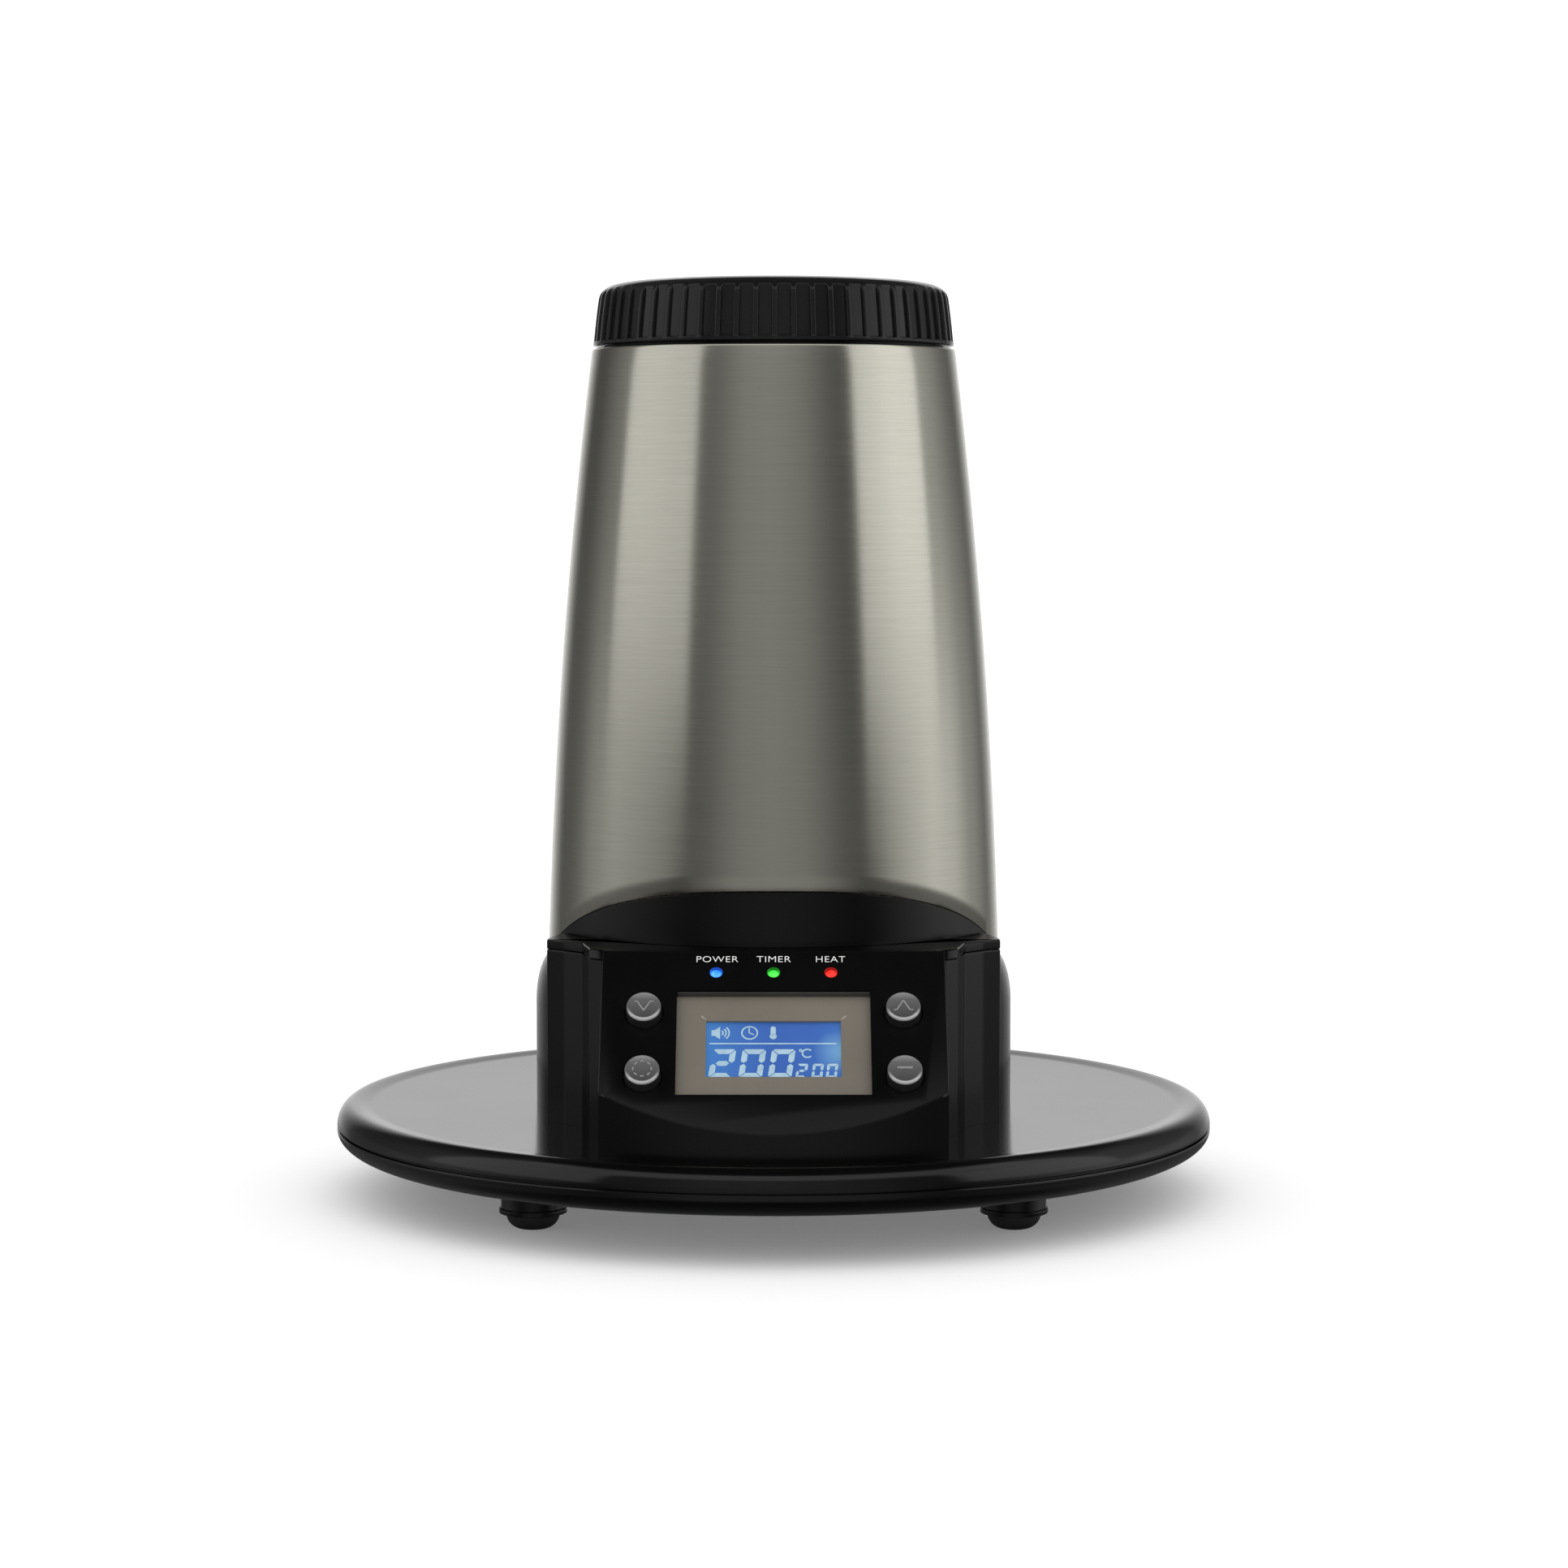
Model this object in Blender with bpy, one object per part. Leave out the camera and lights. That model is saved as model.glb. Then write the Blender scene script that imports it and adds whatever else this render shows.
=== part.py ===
"""Heated drying canister on a round base: a tapered steel tower with a sloped control console in front.

Lengths are given in millimetres and become metres in the mesh helpers.  The floor is z = 0, +Z is up,
the tower axis is the Z axis and the console faces -Y.  Run it with
blender --background --python part.py, or from the text editor.
"""

import math

import bmesh
import bpy
from mathutils import Matrix, Vector

MM = 0.001
GAP = 0.3  # clearance between touching pieces

# Base
BASE_R = 130.0
SEAM_Z = 20.5
SEAM_HALF = 0.4
BASE_TOP_Z = 26.5
BASE_TOP_FLAT_R = 119.0
BASE_CREST_Z = 27.3  # the rim stands a little above the flat
BASE_CREST_R = 125.0
BASE_BOTTOM_Z = 12.7
BASE_BOTTOM_FLAT_R = 117.5
BASE_WALL = 2.2
RIM_WALL = 1.0
TONGUE_WALL = 2.0
AIR_HOLE_R = 39.0
FOOT_XY = 68.0
POST_R = 4.4

# Tower
RING_R = 70.75
RING_TOP_Z = 70.0
RING_BORE_R = 67.6
SHELF_Z = 64.2
STEEL_WALL = 0.8
STEEL_LOW_Z = 64.5
STEEL_TOP_Z = 250.0
STEEL_ARC = ((67.0, 70.0), (62.4, 161.0), (54.0, 246.0))  # (radius, height) on the tower's bulging side
ARCH_TOP_Z = 95.2
ARCH_DROP = 16.5
ARCH_HALF_DEG = 68.6
ARCH_POWER = 2.4
COLLAR_HALF_DEG = 68.3

# Lid
LID_LOW_Z = 251.0
LID_TOP_Z = 270.0
LID_BORE_R = 50.0
RIB_COUNT = 60
RIB_DEPTH = 0.6
VENT_COUNT = 6
VENT_R = 1.5
VENT_RING_R = 12.0

# Drying pot and neck
POT_IN_R = 42.2
POT_WALL = 1.2
POT_LOW_Z = 66.0
POT_RIM_Z = 246.7
NECK_R = 49.6
NECK_TOP_Z = 259.0

# Console
CONSOLE_TOP_Z = 79.5
COVER_T = 2.7
APRON_R = 118.5
APRON_HALF_X = 47.7
PANEL_HALF_X = 47.8
PANEL_FOOT_Z = 34.8  # height of the panel's lowest point, on the apron in the middle
PANEL_T = 1.9
PANEL_MITRE = 2.0
CONSOLE_WALL = 2.2
CONSOLE_BACK_R = 71.1
COVER_BACK_R = 67.4
COVER_BACK_DEG = 65.5
LIP_HALF_DEG = 61.0
CONSOLE_SIDE = (  # plan of the right side, from the block's front corner round the wing
    (47.7, -108.47),
    (48.4, -72.8),
    (51.9, -68.3),
    (54.4, -55.0),
    (60.0, -48.8),
    (65.1, -45.3),
    (65.1, -41.0),
    (61.9, -35.0),
)
CONSOLE_HOLLOW = (  # the same side of the hollow, without its front corner
    (46.2, -72.0),
    (49.8, -67.4),
    (52.3, -54.0),
    (59.3, -46.4),
    (61.6, -44.9),
    (61.6, -42.6),
    (60.2, -41.8),
)
COVER_CORNER = (62.6, -31.5)

# Panel features: x across, s up the slope from the panel's lowest point, w out along its normal
WINDOW = (-26.8, 13.3, 26.8, 49.0)
LCD_OPENING = (-18.6, 21.0, 18.6, 40.2)
BEZEL_W = -2.2
BUTTON_X = 35.8
BUTTON_S = {"upper": 41.2, "lower": 19.5}
BUTTON_R = 5.2
BUTTON_RISE = 3.5
LED_X = {"power": -16.0, "timer": 0.0, "heat": 16.0}
LED_S = 55.1
LED_R = 1.7
LED_HOLE_R = 1.9
BOARD_W = -11.5

# Fan
FAN_LOW_Z = 26.8
FAN_SIZE = 80.0
FAN_DEPTH = 25.0
FAN_BORE_R = 37.6
BLADE_COUNT = 7
SHAFT_R = 1.5

ROUND = 48  # sides of the largest turned pieces
FOOT_SIDES = 14
ROOT2 = math.sqrt(2.0)

BLACK = (0.012, 0.012, 0.013)
FINISHES = {  # colour, roughness, metallic
    "black_plastic": (BLACK, 0.35, 0.0),
    "lid_plastic": ((0.014, 0.014, 0.015), 0.4, 0.0),
    "panel_plastic": ((0.006, 0.006, 0.007), 0.45, 0.0),
    "brushed_steel": ((0.42, 0.41, 0.36), 0.3, 1.0),
    "aluminium": ((0.7, 0.7, 0.7), 0.35, 1.0),
    "ballast_steel": ((0.3, 0.3, 0.31), 0.5, 1.0),
    "screw_steel": ((0.5, 0.5, 0.5), 0.35, 1.0),
    "rubber": ((0.01, 0.01, 0.01), 0.8, 0.0),
    "silicone": ((0.6, 0.6, 0.58), 0.6, 0.0),
    "grey_button": ((0.22, 0.22, 0.22), 0.35, 0.3),
    "tan_bezel": ((0.17, 0.145, 0.12), 0.5, 0.0),
    "blue_lcd": ((0.05, 0.16, 0.5), 0.2, 0.0),
    "diffuser": ((0.75, 0.78, 0.8), 0.4, 0.0),
    "blue_led": ((0.03, 0.3, 1.0), 0.2, 0.0),
    "green_led": ((0.04, 0.75, 0.05), 0.2, 0.0),
    "red_led": ((0.85, 0.02, 0.02), 0.2, 0.0),
    "circuit_board": ((0.02, 0.16, 0.06), 0.45, 0.0),
    "dark_resin": ((0.03, 0.03, 0.03), 0.5, 0.0),
    "mineral_wool": ((0.75, 0.7, 0.55), 0.95, 0.0),
    "mica": ((0.5, 0.42, 0.3), 0.6, 0.0),
    "heating_wire": ((0.45, 0.4, 0.38), 0.4, 1.0),
}


def clear_scene():
    for obj in list(bpy.data.objects):
        bpy.data.objects.remove(obj, do_unlink=True)


def own_material(name, finish):
    colour, roughness, metallic = FINISHES[finish]
    material = bpy.data.materials.new(name)
    material.use_nodes = True
    shader = material.node_tree.nodes["Principled BSDF"]
    shader.inputs["Base Color"].default_value = (*colour, 1.0)
    shader.inputs["Roughness"].default_value = roughness
    shader.inputs["Metallic"].default_value = metallic
    return material


def place(name, bm, finish=None, parent=None, location=(0, 0, 0), smooth=True):
    """Closes the bmesh into a named object.  Without a finish it is a guide for a Boolean."""
    bmesh.ops.recalc_face_normals(bm, faces=bm.faces)
    mesh = bpy.data.meshes.new(name)
    bm.to_mesh(mesh)
    bm.free()
    if smooth:
        mesh.shade_smooth()
        mesh.set_sharp_from_angle(angle=math.radians(35))
    obj = bpy.data.objects.new(name, mesh)
    bpy.context.scene.collection.objects.link(obj)
    obj.parent = parent
    obj.location = Vector(location) * MM
    if finish:
        mesh.materials.append(own_material(name, finish))
    else:
        obj.hide_render = True
        obj.display_type = "WIRE"
    return obj


def turned(name, profile, finish=None, sides=ROUND, **placing):
    """A solid of revolution about Z from a closed outline of (radius, height)."""
    bm = bmesh.new()
    verts = [bm.verts.new((r * MM, 0, z * MM)) for r, z in profile]
    edges = []
    for a, b in zip(verts, verts[1:] + verts[:1]):
        if a.co.x > 0 or b.co.x > 0:
            edges.append(bm.edges.new((a, b)))
    bmesh.ops.spin(
        bm, geom=verts + edges, cent=(0, 0, 0), axis=(0, 0, 1), angle=2 * math.pi, steps=sides, use_merge=True
    )
    bmesh.ops.remove_doubles(bm, verts=bm.verts, dist=1e-7)
    return place(name, bm, finish, **placing)


def add_loft(bm, loops, ends=True, ring=False):
    """Joins loops of equal length into a closed skin, capped at its ends or closed on itself."""
    rows = [[bm.verts.new(Vector(p) * MM) for p in loop] for loop in loops]
    pairs = list(zip(rows, rows[1:]))
    if ring:
        pairs.append((rows[-1], rows[0]))
    for low, high in pairs:
        for i, a in enumerate(low):
            j = (i + 1) % len(low)
            bm.faces.new((a, low[j], high[j], high[i]))
    if ends and not ring:
        bm.faces.new(reversed(rows[0]))
        bm.faces.new(rows[-1])


def lofted(name, loops, finish=None, ring=False, **placing):
    bm = bmesh.new()
    add_loft(bm, loops, ring=ring)
    return place(name, bm, finish, **placing)


def prism(name, outline, low, high, finish=None, **placing):
    return lofted(name, [[(x, y, z) for x, y in outline] for z in (low, high)], finish, **placing)


def box_outline(x0, y0, x1, y1):
    return [(x0, y0), (x1, y0), (x1, y1), (x0, y1)]


def circle_outline(x, y, radius, sides):
    turns = [2 * math.pi * i / sides for i in range(sides)]
    return [(x + radius * math.cos(t), y + radius * math.sin(t)) for t in turns]


def guide_prisms(name, outlines, low, high, **placing):
    """One guide made of several separate prisms, for cutting or joining them all at once."""
    bm = bmesh.new()
    for outline in outlines:
        add_loft(bm, [[(x, y, z) for x, y in outline] for z in (low, high)])
    return place(name, bm, **placing)


def combine(target, guide, operation):
    modifier = target.modifiers.new(guide.name, "BOOLEAN")
    modifier.operation = operation
    modifier.solver = "EXACT"
    modifier.object = guide


def cut(target, guide):
    combine(target, guide, "DIFFERENCE")


def unite(target, guide):
    combine(target, guide, "UNION")


def ellipse_quarter(centre_r, centre_z, reach, rise, steps, start=0.0):
    """Points from the rim inward: (radius, height), with rise negative for a quarter that turns down."""
    points = []
    for i in range(steps + 1):
        t = start + (math.pi / 2 - start) * i / steps
        points.append((centre_r + reach * math.cos(t), centre_z + rise * math.sin(t)))
    return points


def inset(outline, distance):
    """The outline moved inward by a distance, each corner along its mitre."""
    moved = []
    for i, (x, y) in enumerate(outline):
        before = Vector(outline[i - 1])
        after = Vector(outline[(i + 1) % len(outline)])
        here = Vector((x, y))
        a = (here - before).normalized()
        b = (after - here).normalized()
        normal_a = Vector((-a.y, a.x))
        normal_b = Vector((-b.y, b.x))
        mitre = (normal_a + normal_b).normalized()
        moved.append(tuple(here + mitre * (distance / mitre.dot(normal_a))))
    return moved


def circle_through(a, b, c):
    """Centre and radius of the circle through three points."""
    (ax, ay), (bx, by), (cx, cy) = a, b, c
    d = 2 * (ax * (by - cy) + bx * (cy - ay) + cx * (ay - by))
    sa, sb, sc = ax * ax + ay * ay, bx * bx + by * by, cx * cx + cy * cy
    ux = (sa * (by - cy) + sb * (cy - ay) + sc * (ay - by)) / d
    uy = (sa * (cx - bx) + sb * (ax - cx) + sc * (bx - ax)) / d
    return ux, uy, math.hypot(ax - ux, ay - uy)


STEEL_CIRCLE = circle_through(*STEEL_ARC)


def steel_radius(z):
    """The tower's outer radius at a height."""
    centre_r, centre_z, radius = STEEL_CIRCLE
    return centre_r + math.sqrt(radius**2 - (z - centre_z) ** 2)


def arch_height(degrees):
    """The front collar's upper edge, by the angle from the front."""
    share = min(abs(degrees) / ARCH_HALF_DEG, 1.0)
    return ARCH_TOP_Z - ARCH_DROP * share**ARCH_POWER


def front_point(radius, degrees, z):
    """A point round the tower, its angle counted from the front towards +X."""
    turn = math.radians(degrees)
    return (radius * math.sin(turn), -radius * math.cos(turn), z)


def spaced(first, last, count):
    return [first + (last - first) * i / (count - 1) for i in range(count)]


def tower_wall(name, degrees, low_z, high_z, offset, wall, rows, closed, finish):
    """A wall that follows the tower's side between two edges given as functions of the angle."""
    loops = []
    for angle in degrees:
        heights = spaced(low_z(angle), high_z(angle), rows)
        outer = [front_point(steel_radius(z) + offset, angle, z) for z in heights]
        inner = [front_point(steel_radius(z) + offset - wall, angle, z) for z in reversed(heights)]
        loops.append(outer + inner)
    return lofted(name, loops, finish, ring=closed)


# ---------------------------------------------------------------- base


def foot_places():
    for row, y in (("front", -FOOT_XY), ("rear", FOOT_XY)):
        for side, x in (("left", -FOOT_XY), ("right", FOOT_XY)):
            yield f"{row}_{side}", x, y


def build_base():
    low_lip = SEAM_Z + SEAM_HALF
    crest_rise = BASE_CREST_Z - SEAM_Z
    rim_start = math.asin(SEAM_HALF / crest_rise)
    bullnose = ellipse_quarter(BASE_CREST_R, SEAM_Z, BASE_R - BASE_CREST_R, crest_rise, 5, rim_start)
    ceiling = BASE_TOP_Z - BASE_WALL
    top = turned(
        "base_top_shell",
        bullnose
        + [
            (BASE_TOP_FLAT_R + 3, (BASE_TOP_Z + BASE_CREST_Z) / 2),
            (BASE_TOP_FLAT_R, BASE_TOP_Z),
            (AIR_HOLE_R, BASE_TOP_Z),
            (AIR_HOLE_R, ceiling),
            (BASE_TOP_FLAT_R - 1, ceiling),
            (BASE_TOP_FLAT_R + 6, ceiling - 1.2),
            (BASE_R - RIM_WALL, low_lip + 1.2),
            (BASE_R - RIM_WALL, low_lip),
        ],
        "black_plastic",
    )
    posts = [circle_outline(x, y, POST_R, 12) for _, x, y in foot_places()]
    unite(top, guide_prisms("post_guide", posts, 15.2, ceiling + 1.0))
    holes = [circle_outline(x, y, 2.2, 10) for _, x, y in foot_places()]
    cut(top, guide_prisms("post_hole_guide", holes, 14.0, 22.5))

    high_lip = SEAM_Z - SEAM_HALF
    belly = ellipse_quarter(
        BASE_BOTTOM_FLAT_R, high_lip, BASE_R - BASE_BOTTOM_FLAT_R, BASE_BOTTOM_Z - high_lip, 5
    )
    floor = BASE_BOTTOM_Z + BASE_WALL
    tongue_r = BASE_R - RIM_WALL - GAP
    bottom = turned(
        "base_bottom_shell",
        [(0, BASE_BOTTOM_Z), (0, floor), (BASE_BOTTOM_FLAT_R - 1, floor)]
        + [
            (tongue_r - TONGUE_WALL, high_lip - 1.5),
            (tongue_r - TONGUE_WALL, low_lip + 0.6),
            (tongue_r, low_lip + 0.6),
            (tongue_r, high_lip),
        ]
        + belly,
        "black_plastic",
    )
    slots = []
    for i in range(12):
        turn = Matrix.Rotation(math.radians(30 * i + 15), 2)
        slots.append([tuple(turn @ Vector(p)) for p in box_outline(22, -2, 46, 2)])
    cut(bottom, guide_prisms("intake_guide", slots, 10, 17))
    screw_ways = [circle_outline(x, y, 2.4, 10) for _, x, y in foot_places()]
    cut(bottom, guide_prisms("screw_way_guide", screw_ways, 10, 17))

    plate = [(55, floor + GAP), (88, floor + GAP), (88, 19.2), (55, 19.2)]
    turned("ballast_ring", plate, "ballast_steel", 40)


def build_feet():
    for place_name, x, y in foot_places():
        at = (x, y, 0)
        turned(
            f"foot_socket_{place_name}",
            [
                (2.3, 12.4),
                (9.1, 12.4),
                (9.1, 6.0),
                (9.6, 6.0),
                (9.6, 4.5),
                (7.9, 4.5),
                (7.9, 7.0),
                (4.1, 7.0),
                (4.1, 9.9),
                (2.3, 9.9),
            ],
            "black_plastic",
            FOOT_SIDES,
            location=at,
        )
        dome = ellipse_quarter(3.0, 4.4, 4.6, -4.4, 3)
        turned(
            f"foot_pad_{place_name}",
            [(0, 6.7), (7.6, 6.7)] + dome + [(0, 0)],
            "rubber",
            FOOT_SIDES,
            location=at,
        )
        turned(
            f"base_screw_{place_name}",
            [(0, 7.3), (3.2, 7.3), (3.6, 7.9), (3.6, 9.6), (1.9, 9.6), (1.9, 21.0), (0, 21.0)],
            "screw_steel",
            10,
            location=at,
        )


# ---------------------------------------------------------------- tower


def build_tower():
    shoulder = [point for point in ellipse_quarter(65.15, 57.0, 5.6, 14.5, 8) if point[1] < RING_TOP_Z - 0.5]
    ring = turned(
        "tower_ring",
        [(68.0, BASE_TOP_Z + GAP), (RING_R, BASE_TOP_Z + GAP)]
        + shoulder
        + [
            (RING_BORE_R + 0.2, RING_TOP_Z),
            (RING_BORE_R, RING_TOP_Z),
            (RING_BORE_R, SHELF_Z),
            (65.4, SHELF_Z),
            (65.4, 61.5),
            (68.0, 59.5),
        ],
        "black_plastic",
    )
    cut(ring, prism("cable_way_guide", box_outline(-8, -75, 8, -60), 32, 44))
    cut(ring, prism("inlet_way_guide", box_outline(-11.4, 60, 11.4, 75), 33.6, 46.4))

    side = COLLAR_HALF_DEG
    around = spaced(-side - 0.6, side + 0.6, 23) + spaced(side + 0.9, 360 - side - 0.9, 27)

    def steel_low(angle):
        return arch_height(angle) + GAP if angle <= side + 0.6 else STEEL_LOW_Z

    tower_wall(
        "steel_shell", around, steel_low, lambda _: STEEL_TOP_Z, 0.0, STEEL_WALL, 7, True, "brushed_steel"
    )
    tower_wall(
        "front_collar",
        spaced(-side, side, 23),
        lambda _: STEEL_LOW_Z,
        arch_height,
        0.15,
        1.5,
        4,
        False,
        "black_plastic",
    )


def build_chamber():
    pot_out_r = POT_IN_R + POT_WALL
    rim_low = POT_RIM_Z - POT_WALL
    turned(
        "drying_pot",
        [
            (36, POT_LOW_Z),
            (pot_out_r, POT_LOW_Z),
            (pot_out_r, rim_low),
            (47.2, rim_low),
            (47.2, POT_RIM_Z),
            (POT_IN_R, POT_RIM_Z),
            (POT_IN_R, POT_LOW_Z + POT_WALL),
            (36, POT_LOW_Z + POT_WALL),
        ],
        "aluminium",
        40,
    )
    grid_z = POT_LOW_Z + POT_WALL + GAP
    grid = turned(
        "pot_floor_grid",
        [(0, grid_z), (POT_IN_R - GAP, grid_z), (POT_IN_R - GAP, grid_z + 1.2), (0, grid_z + 1.2)],
        "aluminium",
        40,
    )
    holes = []
    for ring_r, count in ((0, 1), (12, 6), (24, 12)):
        for i in range(count):
            x, y, _ = front_point(ring_r, 360 * i / count, 0)
            holes.append(circle_outline(x, y, 3.2, 6))
    cut(grid, guide_prisms("grid_hole_guide", holes, grid_z - 2, grid_z + 4))

    outer = [(steel_radius(z) - 2.0, z) for z in (70, 125, 180, 236)]
    turned("insulation_sleeve", [(44.2, 70)] + outer + [(44.2, 236)], "mineral_wool", 32)
    turned(
        "neck_ring",
        [
            (44.0, 238.5),
            (53.4, 238.5),
            (52.0, 249.6),
            (NECK_R, 249.6),
            (NECK_R, NECK_TOP_Z),
            (47.6, NECK_TOP_Z),
            (47.6, rim_low - GAP),
            (44.0, rim_low - GAP),
        ],
        "black_plastic",
        40,
    )


# ---------------------------------------------------------------- lid

LID_ROWS = (  # outer skin, bottom to top: radius, height, share of the rib depth
    (53.2, LID_LOW_Z, 0.0),
    (53.15, 252.6, 0.0),
    (53.0, 252.9, 1.0),
    (51.6, 264.0, 1.0),
    (50.2, 266.9, 0.3),
    (47.0, 268.6, 0.0),
    (36.0, 269.4, 0.0),
)
LID_INNER_TOP_Z = 267.3
LID_UNDERSIDE = ((LID_BORE_R, LID_LOW_Z), (LID_BORE_R, 264.6), (46.5, LID_INNER_TOP_Z - 0.2))


def vent_outlines():
    for i in range(VENT_COUNT):
        x, y, _ = front_point(VENT_RING_R, 360 * i / VENT_COUNT, 0)
        yield circle_outline(x, y, VENT_R, 6)


def build_lid():
    columns = 2 * RIB_COUNT
    loops = []
    for i in range(columns):
        angle = 360 * i / columns
        flute = RIB_DEPTH * (i % 2)
        outer = [front_point(r - flute * share, angle, z) for r, z, share in LID_ROWS]
        under = [front_point(r, angle, z) for r, z in reversed(LID_UNDERSIDE)]
        loops.append([(0, 0, LID_INNER_TOP_Z)] + under + outer + [(0, 0, LID_TOP_Z)])
    bm = bmesh.new()
    rows = [[bm.verts.new(Vector(p) * MM) for p in loop] for loop in loops]
    for a, b in zip(rows, rows[1:] + rows[:1]):
        for i in range(len(a) - 1):
            bm.faces.new((a[i], b[i], b[i + 1], a[i + 1]))
    bmesh.ops.remove_doubles(bm, verts=bm.verts, dist=1e-7)
    shell = place("lid_shell", bm, "lid_plastic")
    cut(shell, guide_prisms("lid_vent_guide", vent_outlines(), 260, 280))

    liner = turned(
        "lid_liner",
        [
            (0, 252.0),
            (41.6, 252.0),
            (41.6, 262.3),
            (49.4, 262.3),
            (49.4, 264.3),
            (41.6, 264.3),
            (41.6, 266.9),
            (40.0, 266.9),
            (40.0, 253.6),
            (0, 253.6),
        ],
        "lid_plastic",
        40,
    )
    cut(liner, guide_prisms("liner_vent_guide", vent_outlines(), 250, 258))
    turned("lid_gasket", [(44.5, 259.3), (49.2, 259.3), (49.2, 262.0), (44.5, 262.0)], "silicone", 32)


# ---------------------------------------------------------------- console


def panel_height(y):
    """Height of the sloped panel's plane at a depth."""
    return PANEL_FOOT_Z + APRON_R + y


def apron_arc(count, inward=0.0):
    """The block's curved front in plan, or the same line moved inward."""
    half = APRON_HALF_X - inward
    radius = APRON_R - inward
    return [(x, -math.sqrt(radius**2 - x**2)) for x in spaced(-half, half, count)]


def mirrored(points):
    return [(-x, y) for x, y in reversed(points)]


def build_console_shells():
    side = list(CONSOLE_SIDE[1:])
    back = [front_point(CONSOLE_BACK_R, angle, 0)[:2] for angle in spaced(58, -58, 15)]
    outline = apron_arc(15) + side + back + mirrored(side)
    hollow_r = CONSOLE_BACK_R + CONSOLE_WALL
    hollow_back = [front_point(hollow_r, angle, 0)[:2] for angle in spaced(54.5, -54.5, 15)]
    inner = apron_arc(15, CONSOLE_WALL) + list(CONSOLE_HOLLOW) + hollow_back + mirrored(CONSOLE_HOLLOW)
    top_z = CONSOLE_TOP_Z - COVER_T - GAP
    low_z = BASE_TOP_Z + GAP
    outer_top = [(x, y, min(top_z, panel_height(y) - 0.6)) for x, y in outline]
    inner_top = [(x, y, min(top_z, panel_height(y) - 3.7)) for x, y in inner]
    housing = lofted(
        "console_housing",
        [
            [(x, y, low_z) for x, y in outline],
            outer_top,
            inner_top,
            [(x, y, low_z) for x, y in inner],
        ],
        "black_plastic",
        ring=True,
    )
    cut(housing, prism("housing_cable_guide", box_outline(-8, -76, 8, -66), 32, 44))

    cover_turns = spaced(COVER_BACK_DEG, -COVER_BACK_DEG, 21)
    cover_back = [front_point(COVER_BACK_R, angle, 0)[:2] for angle in cover_turns]
    loops = []
    for z in (CONSOLE_TOP_Z - COVER_T, CONSOLE_TOP_Z):
        front_y = z - APRON_R - PANEL_FOOT_Z + (PANEL_T + GAP) * ROOT2
        right = [(PANEL_HALF_X - GAP, front_y)] + list(CONSOLE_SIDE[2:-1]) + [COVER_CORNER]
        loops.append([(x, y, z) for x, y in mirrored(right) + right + cover_back])
    cover = lofted("console_top_cover", loops, "black_plastic")
    lip_turns = spaced(-LIP_HALF_DEG, LIP_HALF_DEG, 17)
    lip = [front_point(RING_R - GAP, angle, 0)[:2] for angle in lip_turns]
    lip += [front_point(COVER_BACK_R + 0.2, angle, 0)[:2] for angle in reversed(lip_turns)]
    unite(cover, prism("cover_lip_guide", lip, RING_TOP_Z + GAP, CONSOLE_TOP_Z - 1.5))


def panel_frame():
    """An empty on the panel's lowest point: local X across, Y up the slope, Z out of the panel."""
    frame = bpy.data.objects.new("panel_frame", None)
    bpy.context.scene.collection.objects.link(frame)
    frame.location = Vector((0, -APRON_R, PANEL_FOOT_Z)) * MM
    frame.rotation_euler = (math.radians(45), 0, 0)
    return frame


def button_places():
    for side, x in (("left", -BUTTON_X), ("right", BUTTON_X)):
        for row, s in BUTTON_S.items():
            yield f"{side}_{row}", x, s


def build_panel(frame):
    top_s = (CONSOLE_TOP_Z - PANEL_FOOT_Z) * ROOT2
    foot = [(x, (y + APRON_R) * ROOT2) for x, y in apron_arc(15)]
    face = foot + [(PANEL_HALF_X, top_s), (-PANEL_HALF_X, top_s)]
    back = inset(face, PANEL_MITRE)
    back = [(x, top_s + PANEL_T if y > top_s - 5 else y) for x, y in back]
    panel = lofted(
        "console_panel",
        [[(x, s, -PANEL_T) for x, s in back], [(x, s, 0) for x, s in face]],
        "panel_plastic",
        parent=frame,
    )
    holes = [box_outline(*WINDOW)]
    holes += [circle_outline(x, s, BUTTON_R + GAP, 20) for _, x, s in button_places()]
    holes += [circle_outline(x, LED_S, LED_HOLE_R, 12) for x in LED_X.values()]
    cut(panel, guide_prisms("panel_hole_guide", holes, -5, 5, parent=frame))

    bezel_outline = box_outline(-28.5, 11.6, 28.5, 50.7)
    bezel = prism("display_bezel", bezel_outline, BEZEL_W - 0.8, BEZEL_W, "tan_bezel", parent=frame)
    cut(bezel, prism("bezel_opening_guide", box_outline(*LCD_OPENING), -6, 0, parent=frame))
    glass = box_outline(-24, 17, 24, 46)
    glass_top = BEZEL_W - 0.8 - GAP
    prism("lcd_cell", glass, glass_top - 1.9, glass_top, "blue_lcd", parent=frame)
    prism("display_backlight", glass, -8.6, glass_top - 1.9 - GAP, "diffuser", parent=frame)


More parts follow.
